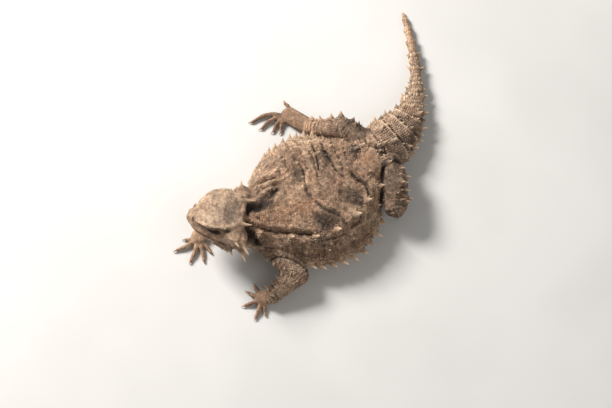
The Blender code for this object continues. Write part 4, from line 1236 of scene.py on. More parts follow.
# Scales on each kind of place: spacing, height, how far one overlaps the next, and how far its rear lifts.
SCALES = {
    "spine": (0.47, 0.19, 0.12, 0.5),
    "head": (0.43, 0.09, 0.0, 0.1),
    "temple": (0.47, 0.13, 0.0, 0.2),
    "lid": (0.37, 0.08, 0.0, 0.1),
    "upper": (0.53, 0.19, 0.34, 0.8),
    "lower": (0.51, 0.18, 0.34, 0.8),
    "palm": (0.50, 0.12, 0.2, 0.5),
    "digit": (0.46, 0.11, 0.2, 0.5),
}
NECK_SPACING = 0.45
# The piece that each kind's scales go to, how many go to one piece, and where the tail's rings start.
REGIONS = {"spine": "trunk", "head": "head", "temple": "head", "lid": "head", "upper": "limbs",
           "lower": "limbs", "palm": "feet", "digit": "feet"}
MOST_SCALES = 5800
TAIL_SCALES = 10.2
SCALE_SIDES = 8
SCALE_TURNS = np.arange(SCALE_SIDES) / SCALE_SIDES * 2 * np.pi


def vertex_scales(skin):
    """Spacing, height, overlap and lift of the scales at each vertex."""
    below = step_between(0.3, 0.75, -skin.normals[:, 2])
    on_spine, on_head = skin.is_kind("spine"), skin.is_kind("head", "temple")
    values = np.array([SCALES[kind] for kind in KINDS])[skin.kind]
    values[on_spine & (skin.station < 2.0), 0] = NECK_SPACING
    values[:, 1] *= 1 - 0.6 * below * skin.is_kind("spine", "upper", "lower")
    values[:, 0] *= 1 + 0.4 * below * on_spine
    x, y, z = skin.head.T
    values[:, 0] *= 1 - 0.1 * on_head * np.clip(step_between(11, 18, x) + step_between(-2.5, -4.5, z), 0, 1)
    values[:, 0] *= 1 + 0.2 * noise(skin.points, 2.5, 41) + 0.1 * noise(skin.points, 1.2, 43)
    rosette = np.zeros(len(values))
    for s, degrees, size in TUBERCLES:
        away = np.linalg.norm(skin.points - spine_point(s, math.radians(degrees)), axis=1)
        rosette = np.maximum(rosette, bell(away - 1.2 * size - 0.6, 0.6))
    values[:, 0] *= 1 + 0.4 * rosette * on_spine
    values[:, 1] *= 1 + 0.6 * rosette * on_spine
    values[:, 1] *= 1 + 0.35 * noise(skin.points, 1.8, 42) * on_spine
    values[:, 1] *= 1 - 0.45 * step_between(13.5, 16.0, skin.station) * on_spine
    return np.maximum(blur(values, skin.pairs, 6), 0.0)


def settle(skin, places):
    """Places moved onto the skin, and the nearest vertices."""
    vertices = nearest(skin.tree, places)
    way = skin.normals[vertices]
    return places - way * dot(places - skin.points[vertices], way)[:, None], vertices


def tail_ring(straight, turn):
    """Places and width of one ring of scales round the tail, slanted as the whorl it belongs to."""
    wide = np.interp(straight, (10, 14, 18, 21), (0.95, 0.88, 0.7, 0.55))
    ring_angles = np.linspace(0, 2 * np.pi, 240, endpoint=False)
    ring = spine_point(straight, ring_angles, -SKIN_DEPTH)
    steps = np.linalg.norm(np.roll(ring, -1, axis=0) - ring, axis=1)
    girth = steps.sum()
    around = max(int(round(girth / wide)), 5)
    arcs = (np.arange(around) + turn) / around * girth + RNG.normal(0, 0.07, around)
    angles = np.interp(arcs % girth, np.cumsum(steps) - steps, ring_angles)
    degrees = np.where(angles > 1.5 * np.pi, angles - 2 * np.pi, angles) * 180 / np.pi
    slant = np.interp(straight, *zip(*RING_SLANT)) * np.cos(angles) * above_edges(degrees)
    rough = np.interp(straight, (10, 13, 16), (0.022, 0.018, 0.006))
    return spine_point(straight + slant + RNG.normal(0, rough, around), angles, -SKIN_DEPTH), wide


def tail_sites():
    """Rings of scales round the tail, each staggered against the one before; a whorl ends in the largest."""
    rows = []
    turn = 0.0
    for low, high in zip(TAIL_RINGS, TAIL_RINGS[1:]):
        if low < TAIL_SCALES:
            continue
        length = float(np.linalg.norm(spine_frame(high)[0] - spine_frame(low)[0]))
        spacing = np.interp((low + high) / 2, (10, 13, 15, 17, 19, 21), (1.0, 1.05, 1.3, 1.5, 1.4, 1.1))
        count = max(int(round(length / spacing)), 1)
        for row in range(count):
            straight = low + (high - low) * ((row + 0.5) / count)
            if straight > TAIL_TIP - 0.1:
                break
            places, wide = tail_ring(straight, turn)
            limit = max(length / count, wide) * 0.62
            rows += [(*place, limit, limit, float(row == count - 1)) for place in places]
            turn = 0.5 - turn
    return np.array(rows)


def digit_sites():
    """Rings of small scutes along every toe."""
    rows = []
    for limb_name, centre, palm, headings, lengths, bow in FEET.values():
        for heading, length in zip(headings, lengths):
            line = np.array([(*c, r) for c, r in digit_line(centre, palm, heading, length, bow)[0]])
            for s in np.linspace(0.4, len(line) - 1.05, int((length - palm * 0.5) / 0.52)):
                row = along(line, s)
                forward = unit(along(line, s + 0.1)[:3] - along(line, s - 0.1)[:3])
                side = unit(np.cross(forward, UP))
                for a in np.radians((90, 32, 148, -25, 205, -90)):
                    out = side * math.cos(a) + np.cross(side, forward) * math.sin(a) * DIGIT_FLATNESS
                    rows.append((*(row[:3] + out * (row[3] - SKIN_DEPTH * 0.45)), 0.5, 0.42, 0.0))
    return np.array(rows)


def lip_sites():
    """A row of larger scales above and below the line of the mouth."""
    rows = []
    for side in (1, -1):
        for x in np.arange(5.2, 20.0, 0.85):
            for above in (0.6, -0.6):
                out = float(head_value("lip_out", x)) - 0.15
                place = head_world((x, out * side, float(head_value("lip_height", x)) + above))
                rows.append((*place, 0.55, 0.5, 0.0))
    return np.array(rows)


def lid_sites():
    """Small beads along the edges of the lids."""
    rows = []
    x, y, z = SLOT_PLACE
    for side in (1, -1):
        for a in np.radians(np.arange(0, 360, 17)):
            narrow = 0.55 + 0.45 * abs(math.sin(a))
            px, pz = LID_SLOT[0] * 1.22 * math.cos(a), LID_SLOT[1] * 1.55 * math.sin(a) * narrow
            out = math.sqrt(max((EYE_RADIUS + 0.4) ** 2 - px ** 2 - pz ** 2, 1))
            rows.append((*head_world((x + px, (y + out) * side, z + pz)), 0.36, 0.4, 0.0))
    return np.array(rows)


def scatter(skin, fields, stops, stop_radii):
    """Fills the skin, headwards to tailwards, with scales at their own spacing, off the stops."""
    candidates = skin.points + RNG.normal(0, 0.07, skin.points.shape)
    tree = tree_of(candidates)
    alive = (skin.points[:, 2] >= 0.12) & ~hidden(skin)
    alive &= ~(skin.is_kind("spine") & (skin.station > TAIL_SCALES + 0.15))
    for place, reach in zip(stops.tolist(), stop_radii.tolist()):
        for found in tree.find_range(place, reach):
            alive[found[1]] = False
    order = np.argsort(skin.sweep_order + RNG.normal(0, 0.25, len(candidates)))
    chosen = []
    listed, reach = candidates.tolist(), (fields[:, 0] * 0.96).tolist()
    for i in order.tolist():
        if alive[i]:
            chosen.append(i)
            for found in tree.find_range(listed[i], reach[i]):
                alive[found[1]] = False
    return candidates[chosen]


def hidden(skin):
    """Vertices inside the lids' slots, the nostrils and the ears, where no scale grows."""
    inside = np.zeros(len(skin.points), bool)
    for side in (1, -1):
        slot, outwards = from_slot(skin.head, side)
        inside |= (slot < 1.18) & (outwards > 0)
        for place, radius in ((NOSTRIL_PLACE, NOSTRIL_RADIUS), (EAR_PLACE, EAR_RADIUS)):
            inside |= from_hole(skin.head, place, side) < radius * 1.15
    return inside


def relax(skin, fields, places, movable, rounds=2):
    """Pushes crowded scales apart, along the skin."""
    for _ in range(rounds):
        places, vertices = settle(skin, places)
        gap = fields[vertices, 0] * 1.04
        away = places[:, None] - places[neighbours(places, 7)]
        distance = np.linalg.norm(away, axis=2, keepdims=True)
        push = away / np.maximum(distance, 1e-6) * np.clip(gap[:, None, None] - distance, 0, 0.3)
        places = places + push.sum(axis=1) * 0.35 * movable[:, None]
    return settle(skin, places)


def neighbours(places, count):
    """The numbers of the places nearest to each place, leaving out itself."""
    tree = tree_of(places)
    return np.array([[found[1] for found in tree.find_n(place, count)] for place in places.tolist()])[:, 1:]


def cells(places, normal, lie, least, most):
    """How far each scale reaches in each direction before it meets its neighbours, from its rear round."""
    away = places[neighbours(places, 10)] - places[:, None]
    flat = np.stack((dot(away, lie[:, None]), dot(away, np.cross(normal, lie)[:, None])), -1)
    square = (flat ** 2).sum(-1)
    ahead = flat @ np.stack((np.cos(SCALE_TURNS), np.sin(SCALE_TURNS)))
    reach = np.where(ahead > 0.02, square[..., None] / 2 / np.maximum(ahead, 0.02), 9.0).min(axis=1)
    return np.clip(reach, least[:, None], most[:, None])


def scale_triangles():
    """Triangles of one scale: its root ring, its shoulder ring and the two ends of its keel, then its cap."""
    sides = SCALE_SIDES
    rear, front, quarter = 2 * sides, 2 * sides + 1, sides // 4
    found = []
    for i in range(sides):
        j = (i + 1) % sides
        found += [(i, j, sides + j), (i, sides + j, sides + i)]
        to_rear = math.cos((i + 0.5) * 2 * math.pi / sides) > 0
        found.append((sides + i, sides + j, rear if to_rear else front))
    found += [(sides + quarter, front, rear), (sides + 3 * quarter, rear, front)]
    return np.array(found + [(0, i + 1, i) for i in range(1, sides - 1)])


def repeated(one, count, per):
    """The triangles of one small form, for count forms of that many points each."""
    return (one[None] + (np.arange(count) * per)[:, None, None]).reshape(-1, 3)


def scale_mesh(name, part):
    """A joined mesh of scales; part holds their places, ways, reach, height, markings with painted shade and
    highlight, and unwrap.
    """
    reach, turns, sides = part["reach"], SCALE_TURNS, SCALE_SIDES
    rear = np.maximum(np.cos(turns), 0) ** 1.5
    tall, overlap, lift = (part[key][:, None] for key in ("tall", "overlap", "lift"))
    spread = reach * (1 + overlap * 1.3 * rear)
    back, front = spread[:, :1] * 0.42, -reach[:, sides // 2:sides // 2 + 1] * 0.38
    lower, upper = reach * 0.99, spread * 0.80
    x = np.concatenate((lower * np.cos(turns), upper * np.cos(turns), back, front), axis=1)
    y = np.concatenate((lower * np.sin(turns), upper * np.sin(turns), back * 0, front * 0), axis=1)
    shoulder = tall * (0.50 + 0.35 * lift * rear)
    z = np.concatenate((np.full_like(reach, -0.09), shoulder, tall * (1 + 0.25 * lift), tall * 0.82), axis=1)
    normal, lie = part["normal"], part["lie"]
    side = np.cross(normal, lie)
    points = (part["places"][:, None] + lie[:, None] * x[..., None] + side[:, None] * y[..., None]
              + normal[:, None] * z[..., None])
    points[..., 2] = np.maximum(points[..., 2], FLOOR_CLEARANCE * 0.5)
    count, per = x.shape
    one = scale_triangles()
    mesh = triangle_mesh(name, points.reshape(-1, 3), repeated(one, count, per))
    # The form's first number, 0 at the root ring, 0.6 at the shoulder and 1 at the keel, paints shade low on
    # each scale and a highlight on its top.
    form = np.zeros((count, per, 4))
    form[:, sides:2 * sides, 0] = 0.6
    form[:, 2 * sides:, 0] = 1.0
    form[..., 1] = part["tone"][:, None]
    form[:, 2 * sides, 2] = 1.0
    paint(mesh, "form", form.reshape(-1, 4))
    paint(mesh, "marks", np.repeat(part["marks"], per, axis=0))
    patch = np.stack((x, y), -1)
    patch /= np.abs(patch).max(axis=(1, 2), keepdims=True) * 2
    add_patches(mesh, part["unwrap"], patch, one, len(one) - (sides - 2))
    return mesh


# Width of one form's patch on the bake's map, and the margin round all of them.
PATCH, MAP_MARGIN = 0.003, 0.02


def add_patches(mesh, unwrap, patch, one, top):
    """The bake's map: each form is a patch at its root's place; its cap, from top on, is one point."""
    low, high = unwrap.min(axis=0), unwrap.max(axis=0)
    spread = max((high - low).max(), 10.0)
    centre = MAP_MARGIN + (1 - 2 * MAP_MARGIN) * (unwrap - low) / spread
    corners = centre[:, None] + patch * PATCH
    loops = corners[:, one]
    loops[:, top:] = (centre + PATCH * 0.5)[:, None, None]
    layer = mesh.uv_layers.new(name="OFBake")
    layer.data.foreach_set("uv", loops.astype(np.float32).ravel())


# Spines

# Fringes: side, number of teeth, length and radius of the large ones, and how far they lean to the tail.
FRINGES = (
    (1, 33, 3.5, 1.85, 0.6),
    (-1, 39, 3.2, 1.4, 0.1),
)
FRINGE_ANGLE = 3
# Rows of small spines beside each fringe: degrees, how many, shift along the body, and how far they rise.
BESIDE_FRINGE = (
    (13, 44, 0.1, 0.55),
    (-8, 36, 0.05, -0.3),
)
# Length and radius of a full-sized spine of the back, the tail and the legs.
BACK_SPINE = (2.0, 1.15)
TAIL_SPINE = (2.9, 1.3)
LEG_SPINE = (1.9, 0.72)
# Rows of the back: degrees from the ridge, size, stations and sides.
BACK_ROWS = (
    (13, 0.42, (3.2, 4.6, 6.0, 7.4, 8.8), (1, -1)),
    (62, 0.62, (3.3, 4.5, 5.7, 6.8, 7.8, 8.8, 9.7), (1, -1)),
    (37, 0.75, (2.3, 3.9, 6.2, 7.7, 9.2), (-1,)),
)
SMALL_SPINES = 520
# Rows of small spines on each limb: degrees from its own row, how many, and size.
LEG_ROWS = ((0, 6, 0.9), (30, 6, 0.75), (64, 5, 0.55), (-24, 5, 0.6))
# Rings of a spine: share of its length from the root, and share of its radius.
SPINE_LEVELS = ((-0.3, 1.22), (0.0, 1.0), (0.2, 0.78), (0.42, 0.54), (0.66, 0.31), (0.86, 0.14), (0.96, 0.05))
SPINE_SIDES = 10


class Spines:
    """Spines being gathered for one joined mesh."""

    def __init__(self):
        self.rows = []

    def add(self, place, aim, length, radius, flat=1.0, bend=(0, 0, 0)):
        self.rows.append((*place, *unit(np.asarray(aim, float)), length, radius, flat, *bend))

    def clear(self, place, radius, share):
        """Whether a place keeps that share of a radius away from the spines there are."""
        return all(np.linalg.norm(place - row[:3]) - row[7] > radius * share for row in self.rows)

    def arrays(self):
        """Places, ways, lengths, radii, flatness and bends."""
        rows = np.array(self.rows)
        return rows[:, :3], rows[:, 3:6], rows[:, 6], rows[:, 7], rows[:, 8], rows[:, 9:12]


def clear_of_limbs(place, reach):
    """Whether a spine at this place stays away from every limb."""
    for limb in LIMBS.values():
        root, bend, end = (np.array(j) for j in limb["joints"])
        for a, b, radii in ((root, bend, limb["upper"]), (bend, end, limb["lower"])):
            t = np.clip(np.dot(place - a, b - a) / np.dot(b - a, b - a), 0, 1)
            if np.linalg.norm(place - a - (b - a) * t) < max(radii) + reach:
                return False
    return True


def fringe_spines(spines):
    """The row of large flat spines along both sides, with small ones between them and beside it."""
    for mirror, teeth, tooth_length, tooth_radius, sweep_back in FRINGES:
        for degrees, count, shift, rise in ((FRINGE_ANGLE, teeth, 0.0, 0.1),) + BESIDE_FRINGE:
            angle = math.radians(degrees if mirror > 0 else 180 - degrees)
            for i, s in enumerate(np.linspace(SHOULDERS + 0.3 + shift, PELVIS - 0.75, count)):
                s += RNG.uniform(-0.03, 0.03)
                place = spine_point(s, angle, -SKIN_DEPTH)
                left, tail = spine_frame(s)[1:3]
                aim = left * mirror + tail * sweep_back + UP * rise
                length, radius = 1.1 * RNG.uniform(0.7, 1.2), 0.6
                if degrees == FRINGE_ANGLE:
                    size = RNG.uniform(0.88, 1.08) if i % 2 else 0.5
                    length, radius = tooth_length * size, tooth_radius * min(size, 1)
                if clear_of_limbs(place, 1.0) and clear_of_limbs(place + unit(aim) * length, 0.5):
                    spines.add(place, aim, length, radius, 0.55, tail * 0.1 * length + UP * 0.06 * length)


def add_tubercle(spines, s, angle, sizes, flat, sweep_back):
    """A spine of the back, of that length and radius, leaning towards the tail."""
    aim = spine_normal(s, angle) + spine_frame(s)[2] * sweep_back
    spines.add(spine_point(s, angle, -SKIN_DEPTH), aim, *sizes, flat)


def back_spines(spines):
    """Tubercles in rows on both sides of the ridge, the photograph's large ones among them."""
    long, wide = BACK_SPINE
    for s, degrees, size in TUBERCLES:
        add_tubercle(spines, s, math.radians(degrees), (long * size, wide * size * 1.05), 0.85, 0.75)
    for from_ridge, size, stations, sides in BACK_ROWS:
        for mirror, s in itertools.product(sides, stations):
            s += RNG.uniform(-0.12, 0.12)
            angle = math.radians(90 - mirror * (from_ridge + RNG.uniform(-3, 3)))
            share = size * RNG.uniform(0.8, 1.15)
            if clear_of_limbs(spine_point(s, angle, -SKIN_DEPTH), 1.2):
                add_tubercle(spines, s, angle, (long * share, wide * share), 1.0, 0.8)
    for _ in range(SMALL_SPINES):
        s, angle = RNG.uniform(2.4, 10.4), math.radians(RNG.triangular(14, 166, 166))
        place = spine_point(s, angle, -SKIN_DEPTH)
        share = RNG.uniform(0.22, 0.36) + 0.2 * RNG.uniform() * step_between(1.6, 2.0, angle)
        if min(np.linalg.norm(place - row[:3]) for row in spines.rows) > 1.6 and clear_of_limbs(place, 0.8):
            add_tubercle(spines, s, angle, (long * share, wide * share * 1.2), 1.0, 1.0)


def tail_spines(spines):
    """Spines along both sides of the tail, tubercles on top and small ones on the edges of the whorls."""
    long, wide = TAIL_SPINE
    sides = [(s, 1.0 if i % 2 else 0.72) for i, s in enumerate(np.arange(10.5, 15.6, 0.42))]
    sides += [(15.9, 0.7), (16.65, 1.25), (17.1, 0.6), (17.5, 0.85), (18.35, 0.7), (19.2, 0.5)]
    wanted = [(s, degrees, 2.0 * size, 1.1 * size, 0.85, 0.9) for s, degrees, size in TAIL_TUBERCLES]
    for s, size in sides:
        fade = min(1.0, 0.35 + float(spine_frame(s)[3]) / 9)
        for degrees in (8, 172):
            wanted.append((s, degrees + RNG.uniform(-4, 4), long * fade * size, wide * fade, 0.8, 0.55))
        if s < 15:
            wanted += [(s + 0.2, degrees, 1.0, 0.55, 0.85, 0.6) for degrees in (-15, 195)]
    for s, degrees in itertools.product(TAIL_RINGS[1:10], (28, 58, 90, 122, 152)):
        degrees += RNG.uniform(-6, 6)
        station = s - 0.08 + np.interp(s, *zip(*RING_SLANT)) * math.cos(math.radians(degrees))
        size = np.interp(s, (10, 14, 17, 19), (1.3, 1.1, 0.8, 0.6)) * RNG.uniform(0.8, 1.2)
        wanted.append((station, degrees, size, 0.55 * size, 0.85, 1.0))
    for s, degrees, length, radius, flat, sweep_back in wanted:
        angle = math.radians(degrees)
        place = spine_point(s, angle, -SKIN_DEPTH)
        if clear_of_limbs(place, 0.8) and spines.clear(place, radius, 0.6):
            add_tubercle(spines, s, angle, (length, radius), flat, sweep_back)


def trunk_distance(place):
    """Roughly how far a place lies outside the trunk's plan, negative inside it."""
    centre, left, tail, half_width = spine_frame(np.linspace(SHOULDERS, 12.6, 60))[:4]
    away = place - centre
    beside = np.abs(dot(away, tail)) < 2.0
    return (np.abs(dot(away, left)) - half_width)[beside].min() if beside.any() else 1e9


def limb_spines(spines):
    """The large spines of the hind legs, and small ones on the upper and rear face of each limb."""
    long, wide = LEG_SPINE
    for name, limb in LIMBS.items():
        onward = 1 if limb["spine_row"] < 90 else -1
        for part in ("upper", "lower"):
            rows = np.array([(*c, r) for c, r in limb_stations(limb, part)])
            forward = unit(rows[-1, :3] - rows[0, :3])
            side = unit(np.cross(forward, UP))
            up = np.cross(side, forward)
            wanted = [spike[1:] for spike in LEG_SPIKES.get(name, ()) if spike[0] == part]
            for shift, count, size in LEG_ROWS:
                for i in range(count):
                    turn = limb["spine_row"] + onward * (shift + RNG.uniform(-4, 4))
                    length = long * size * RNG.uniform(0.8, 1.2)
                    wanted.append(((i + RNG.uniform(0.6, 1.0)) / (count + 0.6), turn, length, wide * size))
            for share, degrees, length, radius in wanted:
                row, turn = along(rows, share * 2), math.radians(degrees)
                outward = side * math.cos(turn) + up * math.sin(turn) * limb["flatness"]
                place = row[:3] + outward * (row[3] - SKIN_DEPTH)
                aim = unit(outward) + forward * (0.08 if radius > 0.8 else 0.35)
                if trunk_distance(place) > 1.0 and spines.clear(place, radius, 1.1):
                    spines.add(place, aim, length, radius)


def head_spines(spines):
    """Spines along the lower jaw, longer towards its corner, and beads on the rims of brow and temple."""
    for side in (1, -1):
        for i, x in enumerate(np.linspace(13.0, 3.9, 7)):
            place = head_world(head_surface(x, 0.84, side))
            length, radius = 0.75 + 0.065 * i * i, 0.62 + 0.09 * i
            spines.add(place, HEAD_TURN @ (-0.45, 0.9 * side, -0.3), length, radius, 0.6)
        spines.add(head_world((5.6, 8.0 * side, 5.8)), HEAD_TURN @ (-0.7, 0.62 * side, 0.1), 1.5, 0.75, 0.8)
        for x, y, z in ((3.4, 9.8, 3.9), (2.9, 11.0, 3.2), (2.2, 12.0, -0.2), (2.2, 12.1, -1.9)):
            spines.add(head_world((x, y * side, z)), HEAD_TURN @ (-0.5, 0.8 * side, 0.25), 0.8, 0.5, 0.8)


def spine_axes(aims):
    """Two ways at right angles to each way and to each other."""
    side = unit(np.cross(aims, (0.13, 0.21, 0.97)))
    return side, np.cross(aims, side)


def spine_mesh(name, skin, spines, tip):
    """A joined mesh of curved, keeled cones with their roots sunk in the skin; tip is how pale they end."""
    places, aims, lengths, radii, flats, bends = spines.arrays()
    count, levels, sides = len(places), len(SPINE_LEVELS), SPINE_SIDES
    side, other = spine_axes(aims)
    turns = np.arange(sides) / sides * 2 * np.pi
    rings = []
    for out, wide in SPINE_LEVELS:
        centre = places + aims * (out * lengths)[:, None] + bends * max(out, 0) ** 2
        keel = 1 + (0.12 * np.cos(2 * turns) + 0.05 * np.cos(5 * turns + 1)) * (1 if out > 0 else 0)
        reach = side[:, None] * (np.cos(turns) * keel)[None, :, None]
        reach = reach + other[:, None] * (np.sin(turns) * keel)[None, :, None] * flats[:, None, None]
        rings.append(centre[:, None] + reach * (radii * wide)[:, None, None])
    point = (places + aims * lengths[:, None] + bends)[:, None]
    points = np.concatenate(rings + [point], axis=1)
    points[..., 2] = np.maximum(points[..., 2], FLOOR_CLEARANCE)
    one = np.array(cone_triangles(levels, sides))
    per = levels * sides + 1
    mesh = triangle_mesh(name, points.reshape(-1, 3), repeated(one, count, per))
    outs = np.append(np.repeat([max(out, 0) for out, wide in SPINE_LEVELS], sides), 1.0)
    # The form's first number, 0.35 at the root to 1 at the point, paints shade low on each spine and a
    # highlight towards its point; the third makes its tip paler.
    form = np.zeros((count, per, 4))
    form[..., 0] = 0.35 + 0.65 * outs
    form[..., 1] = np.clip(0.5 + RNG.normal(0, 0.2, count), 0, 1)[:, None]
    form[..., 2] = outs * tip
    paint(mesh, "form", form.reshape(-1, 4))
    paint(mesh, "marks", np.repeat(skin.marks[nearest(skin.tree, places)], per, axis=0))
    flat_turn = np.append(np.tile(turns, levels), 0.0)
    shrink = 0.5 * (1 - np.append(np.repeat(np.arange(levels), sides) / levels, 1.0))
    patch = np.stack((np.cos(flat_turn) * shrink, np.sin(flat_turn) * shrink), -1)
    unwrap = skin.samples.unwrap(places)
    add_patches(mesh, unwrap, np.broadcast_to(patch, (count, per, 2)), one, len(one) - (sides - 2))
    return mesh


# Horns, eyes and claws

HORN_SIDES, HORN_LEVELS, HORN_BURIED = 24, 26, 0.25
CLAW_SIDES, CLAW_LEVELS, CLAW_BURIED = 12, 10, 0.15


def horn_mesh(name, base, aim, length, radius, side):
    """A slightly curved horn with fine growth rings and grooves, its root bent down into the skull."""
    base, aim = np.array(base) * (1, side, 1), unit(np.array(aim) * (1, side, 1))
    inward = unit(np.array((base[0] + 3.0, 0, 0.5)) - base)
    across, other = spine_axes(aim[None])
    turns = np.arange(HORN_SIDES) / HORN_SIDES * 2 * np.pi
    shares = np.linspace(-HORN_BURIED, 0.985, HORN_LEVELS)
    profile = (-HORN_BURIED, -0.08, 0.06, 0.2, 0.4, 0.65, 0.985), (0.5, 0.95, 1.1, 0.85, 0.57, 0.33, 0.05)
    rings = []
    for share in shares:
        rise = np.array((0, 0, HORN_RISE)) * max(share, 0) ** 2
        sink = inward * 1.5 * (max(-share, 0) / HORN_BURIED) ** 1.5
        centre = base + aim * share * length + rise + sink
        wide = np.interp(share, *profile)
        grooves = 1 + 0.035 * np.cos(7 * turns + 3 * share) + 0.025 * math.sin(share * 46) * (1 - share)
        reach = across * np.cos(turns)[:, None] + other * np.sin(turns)[:, None]
        rings.append(centre + reach * (radius * wide * grooves)[:, None])
    tip = base + aim * length + (0, 0, HORN_RISE)
    points = head_world(np.concatenate(rings + [tip[None]]))
    mesh = triangle_mesh(name, points, np.array(cone_triangles(HORN_LEVELS, HORN_SIDES)))
    outs = np.append(np.repeat(np.clip(shares, 0, 1), HORN_SIDES), 1.0)
    paint(mesh, "form", np.stack((outs, 0 * outs + 0.5, outs, outs), -1))
    return mesh


def build_horns(material):
    for side, side_name in SIDES:
        for horn, (base, aim, length, radius) in HORNS.items():
            if side_name == "right" and horn != "occipital":
                aim = (aim[0] * RIGHT_HORN_SWEEP, aim[1], aim[2])
            node = f"horn_{horn}_{side_name}"
            title = "keratin_" + node
            piece = new_object(title, horn_mesh(title, base, aim, length, radius, side))
            finish_piece(piece, material, "horn", node)


def build_eyes(material):
    """Glossy balls, slightly raised at the pupil, whose local Z is the way each eye looks."""
    for side, side_name in SIDES:
        title = "eyeball_" + side_name
        rings = ball_rings((0, 0, 0), (EYE_RADIUS * 0.965,) * 3, count=40)
        rings[..., 2] += 0.12 * bell(np.linalg.norm(rings[..., :2], axis=-1), 1.0) * (rings[..., 2] > 0)
        mesh = bpy.data.meshes.new(title)
        mesh.from_pydata((rings.reshape(-1, 3) * MM).tolist(), [], grid_faces(*rings.shape[:2], 0))
        mesh.shade_smooth()
        piece = new_object(title, mesh)
        x, y, z = EYE_PLACE
        gaze = HEAD_TURN @ unit(np.array((0.28, 1.0 * side, -0.04)))
        piece.location = Vector(head_world((x, y * side, z)) * MM)
        piece.rotation_mode = "QUATERNION"
        piece.rotation_quaternion = Vector(gaze).to_track_quat("Z", "Y")
        finish_piece(piece, material, "eye", "eye_" + side_name)


def claw_rings(root, forward):
    """Rings of a claw that curves down until its tip meets the floor."""
    turns = np.arange(CLAW_SIDES) / CLAW_SIDES * 2 * np.pi
    across = np.array((-forward[1], forward[0], 0))
    rings = []
    for share in np.linspace(-CLAW_BURIED, 0.97, CLAW_LEVELS):
        out = max(share, 0)
        drop = -(root[2] - 0.1) * out ** 2 + 0.16 * math.sin(math.pi * out)
        place = root + forward * share * (CLAW_LENGTH + 0.05) + (0, 0, drop)
        wide = CLAW_RADIUS * np.interp(share, (-CLAW_BURIED, 0.1, 0.5, 0.97), (0.95, 1.0, 0.62, 0.07))
        ring = across * np.cos(turns)[:, None] * 0.8 + UP * np.sin(turns)[:, None] * 1.1
        rings.append(place + ring * wide)
    return np.concatenate(rings)


def build_claws(material):
    """Curved claws, one joined piece for each foot."""
    last = (CLAW_LEVELS - 1) * CLAW_SIDES
    caps = [(last, last + i + 1, last + i) for i in range(1, CLAW_SIDES - 1)]
    caps += [(0, i, i + 1) for i in range(1, CLAW_SIDES - 1)]
    one = np.array(wall_triangles(CLAW_LEVELS, CLAW_SIDES) + caps)
    for foot, (limb_name, centre, palm, headings, lengths, bow) in FEET.items():
        points = []
        for heading, length in zip(headings, lengths):
            stations, forward = digit_line(centre, palm, heading, length, bow)
            points.append(claw_rings(stations[-1][0] + forward * 0.05 + (0, 0, 0.12), forward))
        triangles = repeated(one, len(points), CLAW_LEVELS * CLAW_SIDES)
        points = np.concatenate(points)
        points[:, 2] = np.maximum(points[:, 2], FLOOR_CLEARANCE)
        mesh = triangle_mesh("claws_" + foot, points, triangles)
        outs = np.tile(np.repeat(np.linspace(0, 1, CLAW_LEVELS), CLAW_SIDES), len(headings))
        paint(mesh, "form", np.stack((outs, outs, outs, outs), -1))
        finish_piece(new_object("claws_" + foot, mesh), material, "horn")


def finish_piece(piece, material, slot, *nodes):
    """Gives a piece its material, and rides it on the body in place of its nodes; slot is not used."""
    piece.data.materials.clear()
    piece.data.materials.append(material)
    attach(piece, "root")
    if nodes:
        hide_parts(*nodes)


# Materials

def rgb(red, green, blue):
    """A colour given as on a screen, 0 to 255, as Blender's linear numbers."""
    values = (c / 255 for c in (red, green, blue))
    return tuple(c / 12.92 if c <= 0.04045 else ((c + 0.055) / 1.055) ** 2.4 for c in values) + (1.0,)


